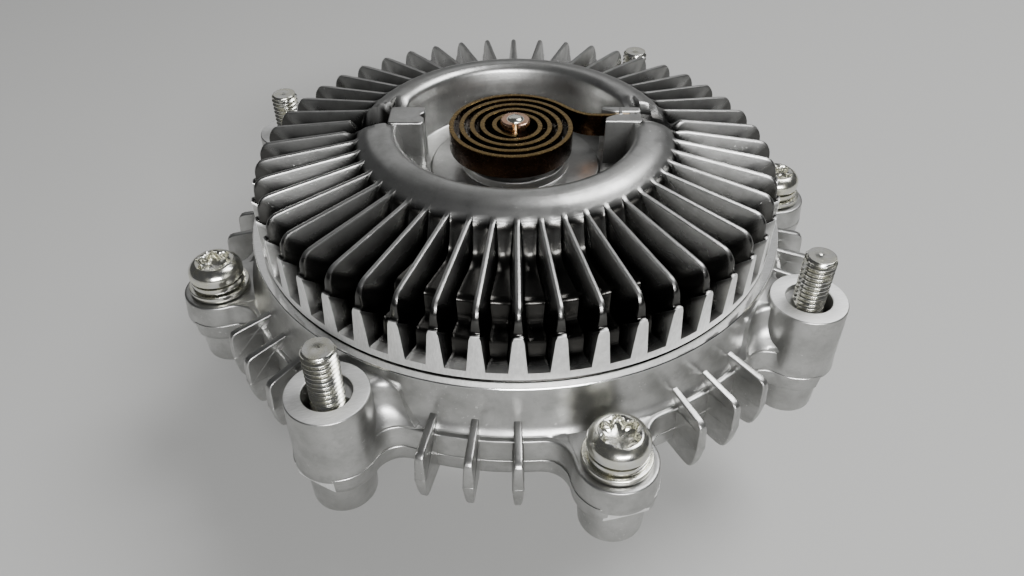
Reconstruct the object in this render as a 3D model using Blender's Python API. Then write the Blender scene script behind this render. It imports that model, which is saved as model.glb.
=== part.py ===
"""Viscous fan clutch with a bimetal spiral.

A finned aluminium cover and a rear housing are screwed together and turn, through one ball
bearing, on a flanged drive shaft. Inside are the drive rotor, the partition plate and the
valve that the bimetal spiral turns. Metres, Z up: the drive flange's rear face lies on Z = 0
and the shaft's axis is the Z axis, with the spiral at the top.
"""
import math

import bmesh
import bpy

MM = 0.001
GAP = 0.3 * MM                        # kept between pieces that touch
FINE, COARSE = 24, 16                 # sides of the turned inner pieces and of the small ones

# ---- overall sizes ------------------------------------------------------------------------
PILOT_RADIUS = 55.5 * MM              # turned seat of the fan, outside radius of its shoulder
PARTING_Z = 35.6 * MM                 # joint between the cover and the rear housing
COVER_DEPTH = 15.4 * MM               # from the parting plane to the pilot shoulder
SHOULDER_Z = PARTING_Z + COVER_DEPTH
RING_HEIGHT = 20.0 * MM               # crest of the central ring above the shoulder
CAST_WALL = 4.0 * MM
CAVITY_RADIUS = PILOT_RADIUS - CAST_WALL

# ---- fins ---------------------------------------------------------------------------------
FIN_COUNT = 48
FIN_CREST_WIDTH = 1.05 * MM
FIN_DRAFT = 0.089                     # growth of the half width per unit of depth
FIN_SLOPE = 0.152                     # fall of the crest per unit of radius
FOOT_RADIUS = PILOT_RADIUS - 1.7 * MM
BAND_HEIGHT = 2.0 * MM                # turned band below the fins' feet

# ---- central ring and recess --------------------------------------------------------------
RING_CREST_RADIUS = 26.4 * MM
RING_FLANK_RADIUS = RING_CREST_RADIUS + 5.0 * MM
RECESS_RADIUS = RING_CREST_RADIUS - 3.7 * MM
RECESS_FLOOR = 9.0 * MM               # above the shoulder
EAR_ANGLE = math.radians(-15.0)       # direction of the two ears
EAR_OFFSET = 3.5 * MM                 # the ears lie on a chord this far from the axis
EAR_WIDTH = 7.0 * MM
EAR_REACH = 18.3 * MM                 # from the axis to an ear's inner end
SLOT_OFFSET = EAR_OFFSET + 0.9 * MM   # the spiral's tail lies this far from the axis
TROUGH_DEPTH = 4.5 * MM               # cast trough behind each ear, below the ring's crest

# ---- bolt flange --------------------------------------------------------------------------
STUD_CIRCLE = PILOT_RADIUS + 8.2 * MM
SCREW_CIRCLE = PILOT_RADIUS + 8.5 * MM
FLANGE_RADIUS = PILOT_RADIUS + 3.6 * MM
COVER_FLANGE = 5.4 * MM
REAR_FLANGE = 3.9 * MM
BOSS_RADIUS = 7.6 * MM
REAR_BOSS_DEPTH = 10.6 * MM
TURNED_RADIUS = SCREW_CIRCLE + 7.2 * MM
STUD_RADIUS = 3.0 * MM
STUD_HOLE = 4.5 * MM
STUD_REACH = 9.5 * MM                 # above the shoulder
SCREW_RADIUS = 2.95 * MM
SCREW_HOLE = SCREW_RADIUS + GAP
HEAD_RADIUS = 5.4 * MM
HEAD_HEIGHT = 3.4 * MM
FLAT_WASHER = 1.2 * MM
SPRING_WASHER = 1.4 * MM
ARMS = 4
RIB_STEP = math.radians(7.5)

# ---- bearing, rotor and shaft -------------------------------------------------------------
BEARING_BORE = 8.5 * MM
BEARING_OUTER = 20.0 * MM
BEARING_WIDTH = 12.0 * MM
BEARING_Z = 19.2 * MM                 # rear face of the bearing
BALL_COUNT = 8
BALL_RADIUS = 3.2 * MM
BALL_PITCH = 14.25 * MM
LAND_PITCH = 5.4 * MM
LAND_WIDTH = 2.0 * MM
LAND_DEPTH = 5.4 * MM
ROTOR_RADIUS = CAVITY_RADIUS - 1.2 * MM
ROTOR_THICKNESS = 4.6 * MM
HOUSING_FLOOR_Z = PARTING_Z - 4.6 * MM
DRIVE_RADIUS = 27.0 * MM              # bolt circle of the drive flange
DRIVE_THICKNESS = 6.0 * MM
DRIVE_BOLT = 4.3 * MM
DRIVE_PILOT = 12.5 * MM
DRIVE_PILOT_DEPTH = 4.5 * MM

# ---- valve and spiral ---------------------------------------------------------------------
VALVE_SHAFT = 3.0 * MM
BUSH_WALL = 1.0 * MM
VALVE_BORE = VALVE_SHAFT + BUSH_WALL + 2 * GAP
PLATE_THICKNESS = 1.0 * MM
PLATE_Z = SHOULDER_Z - 5.0 * MM
ARM_THICKNESS = 1.2 * MM
SPIRAL_TOP = SHOULDER_Z + 18.5 * MM
STRIP_WIDTH = 4.8 * MM
STRIP_THICKNESS = 1.0 * MM
SPIRAL_START = 3.95 * MM
SPIRAL_PITCH = 2.1 * MM
SPIRAL_SHIFT = -0.4 * MM


def clear_scene():
    for item in list(bpy.data.objects):
        bpy.data.objects.remove(item, do_unlink=True)


def material(name, colour, roughness, metallic):
    """A Principled material with the part's colour, roughness and metallic value."""
    made = bpy.data.materials.new(name)
    made.use_nodes = True
    shader = made.node_tree.nodes["Principled BSDF"]
    shader.inputs["Base Color"].default_value = (*colour, 1.0)
    shader.inputs["Roughness"].default_value = roughness
    shader.inputs["Metallic"].default_value = metallic
    return made


def make_object(name, bm, finish=None, location=(0, 0, 0), parent=None):
    """Turn a bmesh into one object, smooth with sharp edges, at its own place."""
    bmesh.ops.recalc_face_normals(bm, faces=bm.faces)
    mesh = bpy.data.meshes.new(name)
    bm.to_mesh(mesh)
    bm.free()
    mesh.shade_smooth()
    mesh.set_sharp_from_angle(angle=math.radians(35))
    made = bpy.data.objects.new(name, mesh)
    bpy.context.scene.collection.objects.link(made)
    made.location = location
    made.parent = parent
    if finish:
        mesh.materials.append(finish)
    return made


def combine(target, operation, bm, label):
    """Union, cut or intersect the target with the closed bodies of a bmesh."""
    tool = make_object(f"{target.name}_{label}", bm, parent=target)
    tool.hide_render = True
    tool.display_type = "WIRE"
    modifier = target.modifiers.new(label, "BOOLEAN")
    modifier.operation = operation
    modifier.solver = "EXACT"
    modifier.object = tool


def polar(radius, angle):
    return (radius * math.cos(angle), radius * math.sin(angle))


def rotated(point, angle):
    x, y = point
    c, s = math.cos(angle), math.sin(angle)
    return (x * c - y * s, x * s + y * c)


def add_turned(bm, profile, segments, centre=(0.0, 0.0), start=0.0):
    """Turn a closed profile of (radius, z) points round a vertical axis.

    A third number in a point is the height of six waves in its radius.
    """
    rings = []
    for radius, z, *wave in profile:
        if radius < 1e-7:
            rings.append([bm.verts.new((centre[0], centre[1], z))] * segments)
            continue
        ring = []
        for k in range(segments):
            angle = start + 2 * math.pi * k / segments
            reach = radius + (wave[0] * math.cos(6 * angle) if wave else 0.0)
            x, y = polar(reach, angle)
            ring.append(bm.verts.new((centre[0] + x, centre[1] + y, z)))
        rings.append(ring)
    for low, high in zip(rings, rings[1:] + rings[:1]):
        for k in range(segments):
            n = (k + 1) % segments
            corners = []
            for vertex in (low[k], low[n], high[n], high[k]):
                if vertex not in corners:
                    corners.append(vertex)
            if len(corners) > 2:
                bm.faces.new(corners)


def add_loft(bm, low, z_low, high, z_high):
    """A solid between two outlines with the same number of points."""
    bottom = [bm.verts.new((x, y, z_low)) for x, y in low]
    top = [bm.verts.new((x, y, z_high)) for x, y in high]
    bm.faces.new(bottom)
    bm.faces.new(top)
    count = len(bottom)
    for k in range(count):
        n = (k + 1) % count
        bm.faces.new((bottom[k], bottom[n], top[n], top[k]))


def add_box(bm, u0, u1, v0, v1, z0, z1, angle=0.0):
    corners = [rotated(p, angle) for p in ((u0, v0), (u1, v0), (u1, v1), (u0, v1))]
    add_loft(bm, corners, z0, corners, z1)


def add_plate_ring(bm, low, high, bore, z_low, z_high):
    """A flange between an outline that may taper and a round bore."""
    loops = []
    for outline, z in ((low, z_low), (high, z_high)):
        inner = [polar(bore, math.atan2(y, x)) for x, y in outline]
        loops.append([bm.verts.new((x, y, z)) for x, y in outline])
        loops.append([bm.verts.new((x, y, z)) for x, y in inner])
    outer_low, inner_low, outer_high, inner_high = loops
    count = len(low)
    for k in range(count):
        n = (k + 1) % count
        for a, b in ((outer_low, inner_low), (outer_high, inner_high),
                     (outer_low, outer_high), (inner_low, inner_high)):
            bm.faces.new((a[k], a[n], b[n], b[k]))


def add_fin(bm, angle, outline, half_width):
    """A thin radial body: its outline is in (radius, z), its half width a function of both."""
    sides = []
    for side in (-1, 1):
        ring = []
        for radius, z in outline:
            x, y = rotated((radius, side * half_width(radius, z)), angle)
            ring.append(bm.verts.new((x, y, z)))
        bm.faces.new(ring)
        sides.append(ring)
    count = len(outline)
    for k in range(count):
        n = (k + 1) % count
        bm.faces.new((sides[0][k], sides[0][n], sides[1][n], sides[1][k]))


def lobed_outline(radius, lobes, fillet, clip=None, steps=5):
    """A round plate with rounded ears: each lobe is (distance, ear radius, angle).

    Every ear is joined to the plate by two concave arcs, and the whole outline can be
    clipped by a turned circle.
    """
    points = []
    reach_to = math.pi / len(lobes)
    for reach, ear, angle in lobes:
        far, near = radius + fillet, ear + fillet
        spread = math.acos((far**2 + reach**2 - near**2) / (2 * far * reach))
        hub = polar(far, spread)
        tangent = math.atan2(hub[1], hub[0] - reach)
        half = []
        for k in range(steps + 1):
            turn = tangent * k / steps
            half.append((reach + ear * math.cos(turn), ear * math.sin(turn)))
        leave = tangent + math.pi
        arrive = spread + math.pi
        for k in range(1, 4):
            turn = leave + (arrive - leave) * k / 3
            x, y = polar(fillet, turn)
            half.append((hub[0] + x, hub[1] + y))
        half.append(polar(radius, spread + (reach_to - spread) * 0.6))
        full = [(x, -y) for x, y in reversed(half[1:])] + half
        points += [rotated(p, angle) for p in full]
    if clip:
        points = [polar(min(math.hypot(x, y), clip), math.atan2(y, x)) for x, y in points]
    return points


def angles(count, offset=0.0):
    return [offset + 2 * math.pi * k / count for k in range(count)]


STUD_ANGLES = angles(ARMS, math.pi / 4)
SCREW_ANGLES = angles(ARMS)
RIB_ANGLES = [middle + step * RIB_STEP for middle in angles(2 * ARMS, math.pi / 8)
              for step in (-1, 0, 1)]


def flange_outline(radius, boss, clip=None):
    lobes = []
    for k in range(ARMS):
        lobes.append((SCREW_CIRCLE, boss, SCREW_ANGLES[k]))
        lobes.append((STUD_CIRCLE, boss, STUD_ANGLES[k]))
    return lobed_outline(radius, lobes, 4.6 * MM, clip)


def spots(radius, places):
    return [polar(radius, angle) for angle in places]


# ---- the cover ----------------------------------------------------------------------------
def fin_crest(radius):
    return SHOULDER_Z + RING_HEIGHT - 2.4 * MM - FIN_SLOPE * (radius - RING_FLANK_RADIUS)


def cover_profile():
    """The cast shell, from the flange up over the steps and the ring, then back inside."""
    s = SHOULDER_Z
    base = PARTING_Z + GAP / 2
    top = PARTING_Z + COVER_FLANGE
    crest = s + RING_HEIGHT
    outer = PILOT_RADIUS
    flank = RING_FLANK_RADIUS
    ring = RING_CREST_RADIUS
    floor = s + RECESS_FLOOR
    return [
        (outer + 0.6 * MM, base), (outer + 0.6 * MM, top - 1.2 * MM),
        (outer + 2.5 * MM, top - 0.4 * MM), (outer + 1.3 * MM, top + 0.5 * MM),
        (outer + 0.6 * MM, top + 2.0 * MM), (outer, s), (FOOT_RADIUS, s),
        (FOOT_RADIUS, s + BAND_HEIGHT), (outer - 6.0 * MM, s + BAND_HEIGHT),
        (outer - 6.4 * MM, s + 5.2 * MM), (outer - 10.3 * MM, s + 5.5 * MM),
        (outer - 10.8 * MM, s + 9.9 * MM), (flank + 4.8 * MM, s + 10.2 * MM),
        (flank + 2.6 * MM, s + 12.0 * MM), (flank + 0.9 * MM, s + 16.6 * MM),
        (flank - 0.1 * MM, crest - 2.0 * MM), (ring + 2.6 * MM, crest - 0.4 * MM),
        (ring, crest), (ring - 2.0 * MM, crest - 0.6 * MM), (ring - 3.1 * MM, crest - 2.2 * MM),
        (RECESS_RADIUS, floor), (17.6 * MM, floor), (17.4 * MM, floor + MM),
        (11.2 * MM, floor + MM), (10.6 * MM, floor + 2.5 * MM), (VALVE_BORE, floor + 2.5 * MM),
        (VALVE_BORE, floor - 3.5 * MM), (RECESS_RADIUS + 1.7 * MM, floor - 3.5 * MM),
        (ring, crest - TROUGH_DEPTH - 3.1 * MM), (ring + 2.6 * MM, crest - TROUGH_DEPTH - 3.1 * MM),
        (flank, s + 6.8 * MM), (outer - 13.6 * MM, s + 6.8 * MM),
        (outer - 13.6 * MM, s + 2.4 * MM), (outer - 9.0 * MM, s + 2.4 * MM),
        (outer - 9.0 * MM, s - 1.2 * MM), (CAVITY_RADIUS - 1.5 * MM, s - 1.2 * MM),
        (CAVITY_RADIUS - 1.5 * MM, s - 3.7 * MM),
        (CAVITY_RADIUS, s - 3.7 * MM), (CAVITY_RADIUS, base),
    ]


def fin_outline():
    s = SHOULDER_Z
    foot = FOOT_RADIUS - 0.2 * MM
    outer = PILOT_RADIUS
    flank = RING_FLANK_RADIUS
    return [
        (foot, s + 0.7 * MM), (foot, s + 9.8 * MM), (foot - 0.8 * MM, s + 10.0 * MM),
        (foot - 0.8 * MM, s + 12.2 * MM), (outer - 4.2 * MM, s + 14.2 * MM),
        (outer - 5.5 * MM, fin_crest(outer - 5.5 * MM)),
        (flank - 0.6 * MM, fin_crest(flank - 0.6 * MM)), (flank + 0.3 * MM, s + 12.5 * MM),
        (flank + 2.6 * MM, s + 8.6 * MM), (outer - 12.4 * MM, s + 8.6 * MM),
        (outer - 11.8 * MM, s + 3.9 * MM), (outer - 7.8 * MM, s + 3.9 * MM),
        (outer - 7.4 * MM, s + 0.7 * MM),
    ]


def fin_half_width(radius, z):
    return FIN_CREST_WIDTH / 2 + FIN_DRAFT * (fin_crest(radius) - z)


def cover_rib_half_width(radius, z):
    return 0.7 * MM + 0.036 * (SHOULDER_Z - 7.0 * MM - z)


def build_cover(aluminium):
    s = SHOULDER_Z
    base = PARTING_Z + GAP / 2
    top = PARTING_Z + COVER_FLANGE
    bm = bmesh.new()
    add_turned(bm, cover_profile(), FIN_COUNT, start=math.pi / FIN_COUNT)
    cover = make_object("front_cover", bm, aluminium)

    flange = bmesh.new()
    add_plate_ring(flange, flange_outline(FLANGE_RADIUS, BOSS_RADIUS),
                   flange_outline(FLANGE_RADIUS - 0.7 * MM, BOSS_RADIUS - 0.2 * MM),
                   PILOT_RADIUS - 1.9 * MM, base, top)
    combine(cover, "UNION", flange, "flange")

    bosses = bmesh.new()
    for x, y in spots(STUD_CIRCLE, STUD_ANGLES):
        add_turned(bosses, [(0, PARTING_Z + 2 * MM), (BOSS_RADIUS - 0.1 * MM, PARTING_Z + 2 * MM),
                            (BOSS_RADIUS - 0.3 * MM, s - 0.6 * MM), (0, s - 0.6 * MM)],
                   20, centre=(x, y), start=math.pi / 4)
    combine(cover, "UNION", bosses, "bosses")

    gussets = bmesh.new()
    wall = PILOT_RADIUS - 1.2 * MM
    for angle in STUD_ANGLES:
        outline = [(wall, top - MM), (wall, s - 1.6 * MM), (wall + 3.2 * MM, s - 2.0 * MM),
                   (wall + 5.6 * MM, s - 4.6 * MM), (wall + 5.6 * MM, top - MM)]
        add_fin(gussets, angle, outline, lambda radius, z: 5.6 * MM - 0.05 * (z - top))
    combine(cover, "UNION", gussets, "gussets")

    ribs = bmesh.new()
    tip = FLANGE_RADIUS + 5.8 * MM
    for angle in RIB_ANGLES:
        outline = [(FLANGE_RADIUS - 0.9 * MM, base), (tip, base), (tip - 0.6 * MM, s - 11.6 * MM),
                   (tip - 1.7 * MM, s - 10.4 * MM), (PILOT_RADIUS, s - 7.2 * MM),
                   (PILOT_RADIUS - MM, top - 1.5 * MM)]
        add_fin(ribs, angle, outline, cover_rib_half_width)
    combine(cover, "UNION", ribs, "ribs")

    troughs = bmesh.new()
    low, high = EAR_OFFSET - EAR_WIDTH / 2, EAR_OFFSET + EAR_WIDTH / 2
    for side in (-1, 1):
        ends = sorted((side * (RECESS_RADIUS + 2.9 * MM), side * (RING_FLANK_RADIUS + 3.0 * MM)))
        add_box(troughs, ends[0], ends[1], low, high, s + RING_HEIGHT - TROUGH_DEPTH,
                s + RING_HEIGHT + MM, EAR_ANGLE)
    combine(cover, "DIFFERENCE", troughs, "troughs")

    fins = bmesh.new()
    for angle in angles(FIN_COUNT):
        add_fin(fins, angle, fin_outline(), fin_half_width)
    combine(cover, "UNION", fins, "fins")

    ears = bmesh.new()
    for side in (-1, 1):
        ends = sorted((side * EAR_REACH, side * (RECESS_RADIUS + 2.6 * MM)))
        add_box(ears, ends[0], ends[1], low, high, s + RECESS_FLOOR - MM,
                s + RING_HEIGHT - MM, EAR_ANGLE)
    combine(cover, "UNION", ears, "ears")

    cuts = bmesh.new()
    slot = STRIP_THICKNESS / 2 + GAP
    add_box(cuts, EAR_REACH - MM, EAR_REACH + 7.2 * MM, SLOT_OFFSET - slot, SLOT_OFFSET + slot,
            SPIRAL_TOP - STRIP_WIDTH - GAP, s + RING_HEIGHT + MM, EAR_ANGLE)
    for x, y in spots(STUD_CIRCLE, STUD_ANGLES):
        add_turned(cuts, [(0, base - MM), (STUD_HOLE, base - MM), (STUD_HOLE, s + MM),
                          (0, s + MM)], COARSE, centre=(x, y))
    for x, y in spots(SCREW_CIRCLE, SCREW_ANGLES):
        add_turned(cuts, [(0, base - MM), (SCREW_HOLE, base - MM), (SCREW_HOLE, top + MM),
                          (0, top + MM)], COARSE, centre=(x, y))
    combine(cover, "DIFFERENCE", cuts, "holes")
    return cover


# ---- the rear housing ---------------------------------------------------------------------
def land_radii(inner, outer):
    """Mid radii of the annular lands that fit between two radii, from the outside in."""
    count = int((outer - inner) / LAND_PITCH)
    return [outer - LAND_PITCH * (k + 0.5) for k in range(count)]


HOUSING_LANDS = land_radii(28.0 * MM, ROTOR_RADIUS - 0.9 * MM)[:3]


def rear_profile():
    face = PARTING_Z - GAP / 2
    floor = HOUSING_FLOOR_Z
    seat = BEARING_OUTER + GAP
    groove = CAVITY_RADIUS + 1.5 * MM
    bearing_top = BEARING_Z + BEARING_WIDTH + GAP
    profile = [
        (seat, bearing_top), (seat - 2.6 * MM, bearing_top),
        (seat - 2.6 * MM, bearing_top + 1.6 * MM), (seat + 3.4 * MM, bearing_top + 1.6 * MM),
        (seat + 4.4 * MM, floor),
    ]
    for middle in reversed(HOUSING_LANDS):
        low, high = middle - LAND_WIDTH / 2, middle + LAND_WIDTH / 2
        profile += [(low, floor), (low, floor + LAND_DEPTH), (high, floor + LAND_DEPTH),
                    (high, floor)]
    profile += [
        (CAVITY_RADIUS, floor), (CAVITY_RADIUS, face), (groove, face),
        (groove, face - 1.8 * MM), (groove + 2.6 * MM, face - 1.8 * MM),
        (groove + 2.6 * MM, face), (PILOT_RADIUS + 1.7 * MM, face),
        (PILOT_RADIUS + 1.7 * MM, face - REAR_FLANGE), (PILOT_RADIUS - 0.5 * MM, floor - 2.2 * MM),
        (PILOT_RADIUS - 3.0 * MM, floor - 3.6 * MM), (BEARING_OUTER + 7.0 * MM, floor - 3.6 * MM),
        (BEARING_OUTER + 5.4 * MM, floor - 5.6 * MM), (BEARING_OUTER + 4.8 * MM, BEARING_Z - MM),
        (seat + MM, BEARING_Z - MM), (seat - 0.8 * MM, BEARING_Z - GAP),
        (seat, BEARING_Z - GAP),
    ]
    return profile


def build_rear(aluminium):
    face = PARTING_Z - GAP / 2
    floor = HOUSING_FLOOR_Z
    bm = bmesh.new()
    add_turned(bm, rear_profile(), FINE)
    rear = make_object("rear_housing", bm, aluminium)

    flange = bmesh.new()
    boss = BOSS_RADIUS + 0.5 * MM
    add_plate_ring(flange, flange_outline(FLANGE_RADIUS - 1.4 * MM, boss - 0.3 * MM, TURNED_RADIUS),
                   flange_outline(FLANGE_RADIUS, boss, TURNED_RADIUS),
                   PILOT_RADIUS + 0.9 * MM, face - REAR_FLANGE, face)
    combine(rear, "UNION", flange, "flange")

    bosses = bmesh.new()
    for x, y in spots(STUD_CIRCLE, STUD_ANGLES) + spots(SCREW_CIRCLE, SCREW_ANGLES):
        add_turned(bosses, [(0, PARTING_Z - REAR_BOSS_DEPTH),
                            (5.9 * MM, PARTING_Z - REAR_BOSS_DEPTH),
                            (6.2 * MM, face - MM), (0, face - MM)], COARSE, centre=(x, y))
    combine(rear, "UNION", bosses, "bosses")

    ribs = bmesh.new()
    tip = FLANGE_RADIUS + 5.8 * MM
    for angle in RIB_ANGLES:
        outline = [(tip, face), (FLANGE_RADIUS - 0.9 * MM, face), (PILOT_RADIUS + MM, face - MM),
                   (PILOT_RADIUS - 0.9 * MM, floor - MM), (tip - 3.4 * MM, floor - 2.4 * MM),
                   (tip - 1.4 * MM, floor - 2.2 * MM), (tip - 0.4 * MM, floor - MM)]
        add_fin(ribs, angle, outline, lambda radius, z: 1.0 * MM - 0.06 * (face - z))
    combine(rear, "UNION", ribs, "ribs")

    fins = bmesh.new()
    for angle in angles(FIN_COUNT // 2, math.pi / FIN_COUNT):
        outline = [(BEARING_OUTER + 5.0 * MM, floor - 2.6 * MM),
                   (BEARING_OUTER + 5.0 * MM, floor - 7.0 * MM),
                   (BEARING_OUTER + 9.0 * MM, floor - 8.4 * MM),
                   (PILOT_RADIUS - 5.0 * MM, floor - 7.0 * MM),
                   (PILOT_RADIUS - 2.4 * MM, floor - 2.6 * MM)]
        add_fin(fins, angle, outline, lambda radius, z: 1.25 * MM - 0.06 * (floor - z))
    combine(rear, "UNION", fins, "fins")

    holes = bmesh.new()
    for radius, circle, places in ((STUD_RADIUS + GAP, STUD_CIRCLE, STUD_ANGLES),
                                   (SCREW_HOLE, SCREW_CIRCLE, SCREW_ANGLES)):
        for x, y in spots(circle, places):
            add_turned(holes, [(0, PARTING_Z - 8.6 * MM), (radius, PARTING_Z - 8.0 * MM),
                               (radius, face + MM), (0, face + MM)], 12, centre=(x, y))
    combine(rear, "DIFFERENCE", holes, "holes")
    return rear


def build_seal(rubber):
    groove = CAVITY_RADIUS + 1.5 * MM
    face = PARTING_Z - GAP / 2
    bm = bmesh.new()
    add_turned(bm, [(groove + GAP, face - 1.5 * MM), (groove + 2.6 * MM - GAP, face - 1.5 * MM),
                    (groove + 2.6 * MM - GAP, face - 0.15 * MM), (groove + GAP, face - 0.15 * MM)],
               FINE)
    return make_object("cover_seal_ring", bm, rubber)


# ---- drive shaft, rotor and bearing -------------------------------------------------------
ROTOR_Z = HOUSING_FLOOR_Z + LAND_DEPTH + 1.4 * MM      # underside of the rotor's disc
ROTOR_TOP = ROTOR_Z + ROTOR_THICKNESS
ROTOR_SEAT_Z = BEARING_Z + BEARING_WIDTH + 2.6 * MM


def build_shaft(steel):
    seat = BEARING_BORE - 0.5 * MM
    profile = [
        (DRIVE_PILOT, 0), (16.5 * MM, 0), (16.5 * MM, DRIVE_THICKNESS + 1.5 * MM),
        (14.0 * MM, DRIVE_THICKNESS + 2.5 * MM), (13.0 * MM, BEARING_Z - 3.0 * MM),
        (11.6 * MM, BEARING_Z - GAP), (BEARING_BORE - GAP, BEARING_Z - GAP),
        (BEARING_BORE - GAP, ROTOR_SEAT_Z), (seat - GAP, ROTOR_SEAT_Z),
        (seat - GAP, ROTOR_TOP + GAP), (seat + 1.2 * MM, ROTOR_TOP + GAP),
        (seat + 0.9 * MM, ROTOR_TOP + 1.2 * MM), (3.0 * MM, ROTOR_TOP + 1.2 * MM),
        (2.4 * MM, ROTOR_TOP - 2.4 * MM), (0, ROTOR_TOP - 3.2 * MM),
        (0, DRIVE_PILOT_DEPTH), (DRIVE_PILOT, DRIVE_PILOT_DEPTH),
    ]
    bm = bmesh.new()
    add_turned(bm, profile, FINE)
    shaft = make_object("drive_shaft", bm, steel)
    plate = bmesh.new()
    lobes = [(DRIVE_RADIUS, 8.0 * MM, angle) for angle in STUD_ANGLES]
    outline = lobed_outline(22.5 * MM, lobes, 7.0 * MM, steps=4)
    add_plate_ring(plate, outline, outline, DRIVE_PILOT + 1.5 * MM, 0, DRIVE_THICKNESS)
    combine(shaft, "UNION", plate, "plate")
    holes = bmesh.new()
    for x, y in spots(DRIVE_RADIUS, STUD_ANGLES):
        add_turned(holes, [(0, -MM), (DRIVE_BOLT, -MM), (DRIVE_BOLT, DRIVE_THICKNESS + MM),
                           (0, DRIVE_THICKNESS + MM)], COARSE, centre=(x, y))
    combine(shaft, "DIFFERENCE", holes, "holes")
    return shaft


def build_rotor(aluminium, parent):
    bore = BEARING_BORE - 0.5 * MM
    bottom = ROTOR_SEAT_Z + GAP
    profile = [(bore, bottom), (14.0 * MM, bottom), (15.0 * MM, ROTOR_Z)]
    lands = [middle + LAND_PITCH / 2 for middle in reversed(HOUSING_LANDS)]
    for middle in lands:
        low, high = middle - LAND_WIDTH / 2, middle + LAND_WIDTH / 2
        deep = HOUSING_FLOOR_Z + 1.0 * MM
        profile += [(low, ROTOR_Z), (low, deep), (high, deep), (high, ROTOR_Z)]
    profile += [(ROTOR_RADIUS, ROTOR_Z), (ROTOR_RADIUS, ROTOR_TOP), (20.0 * MM, ROTOR_TOP),
                (19.0 * MM, ROTOR_TOP - 1.2 * MM), (13.0 * MM, ROTOR_TOP - 1.2 * MM),
                (12.0 * MM, ROTOR_TOP), (bore, ROTOR_TOP)]
    bm = bmesh.new()
    add_turned(bm, profile, FINE)
    rotor = make_object("drive_rotor", bm, aluminium, parent=parent)
    holes = bmesh.new()
    for x, y in spots(21.5 * MM, angles(6)):
        add_turned(holes, [(0, ROTOR_Z - MM), (2.6 * MM, ROTOR_Z - MM),
                           (2.6 * MM, ROTOR_TOP + MM), (0, ROTOR_TOP + MM)], 12, centre=(x, y))
    combine(rotor, "DIFFERENCE", holes, "holes")
    return rotor


def race(radius, side):
    """A shallow ball groove in a bearing ring, from the rear face to the front face."""
    middle = BEARING_Z + BEARING_WIDTH / 2
    reach = BALL_RADIUS + GAP
    points = []
    for degrees in (-54, -18, 18, 54):
        turn = math.radians(degrees)
        points.append((radius + side * reach * math.cos(turn), middle + reach * math.sin(turn)))
    return points


def build_bearing(steel, brass, rubber, shaft, cage_pivot):
    low, high = BEARING_Z, BEARING_Z + BEARING_WIDTH
    inner_edge, outer_edge = 12.1 * MM, 16.4 * MM
    bm = bmesh.new()
    add_turned(bm, [(BEARING_BORE, low), (inner_edge, low), *race(BALL_PITCH, -1),
                    (inner_edge, high), (BEARING_BORE, high)], FINE)
    make_object("bearing_inner_ring", bm, steel, parent=shaft)
    bm = bmesh.new()
    add_turned(bm, [(BEARING_OUTER, low), (outer_edge, low), *race(BALL_PITCH, 1),
                    (outer_edge, high), (BEARING_OUTER, high)], FINE)
    make_object("bearing_outer_ring", bm, steel)
    for name, z in (("bearing_seal_rear", low + 0.3 * MM), ("bearing_seal_front", high - MM)):
        bm = bmesh.new()
        add_turned(bm, [(inner_edge + GAP, z), (outer_edge - GAP, z),
                        (outer_edge - GAP, z + 0.7 * MM), (inner_edge + GAP, z + 0.7 * MM)], FINE)
        make_object(name, bm, rubber)

    bm = bmesh.new()
    cage_half = 4.3 * MM
    add_turned(bm, [(BALL_PITCH - 0.8 * MM, -cage_half), (BALL_PITCH + 0.8 * MM, -cage_half),
                    (BALL_PITCH + 0.8 * MM, cage_half), (BALL_PITCH - 0.8 * MM, cage_half)], FINE)
    cage = make_object("bearing_cage", bm, brass, parent=cage_pivot)
    pockets = bmesh.new()
    for angle in angles(BALL_COUNT):
        add_ball(pockets, polar(BALL_PITCH, angle), BALL_RADIUS + GAP)
    combine(cage, "DIFFERENCE", pockets, "pockets")
    ball = bmesh.new()
    add_ball(ball, (0, 0), BALL_RADIUS)
    pattern = None
    for k, (x, y) in enumerate(spots(BALL_PITCH, angles(BALL_COUNT)), start=1):
        name = f"bearing_ball_{k}"
        if pattern is None:
            pattern = make_object(name, ball, steel, (x, y, 0), cage_pivot)
            continue
        made = bpy.data.objects.new(name, pattern.data)
        bpy.context.scene.collection.objects.link(made)
        made.location = (x, y, 0)
        made.parent = cage_pivot


def add_ball(bm, centre, radius):
    profile = [(0, -radius)]
    for degrees in (-45, 0, 45):
        turn = math.radians(degrees)
        profile.append((radius * math.cos(turn), radius * math.sin(turn)))
    profile.append((0, radius))
    add_turned(bm, profile, 10, centre=centre)


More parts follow.
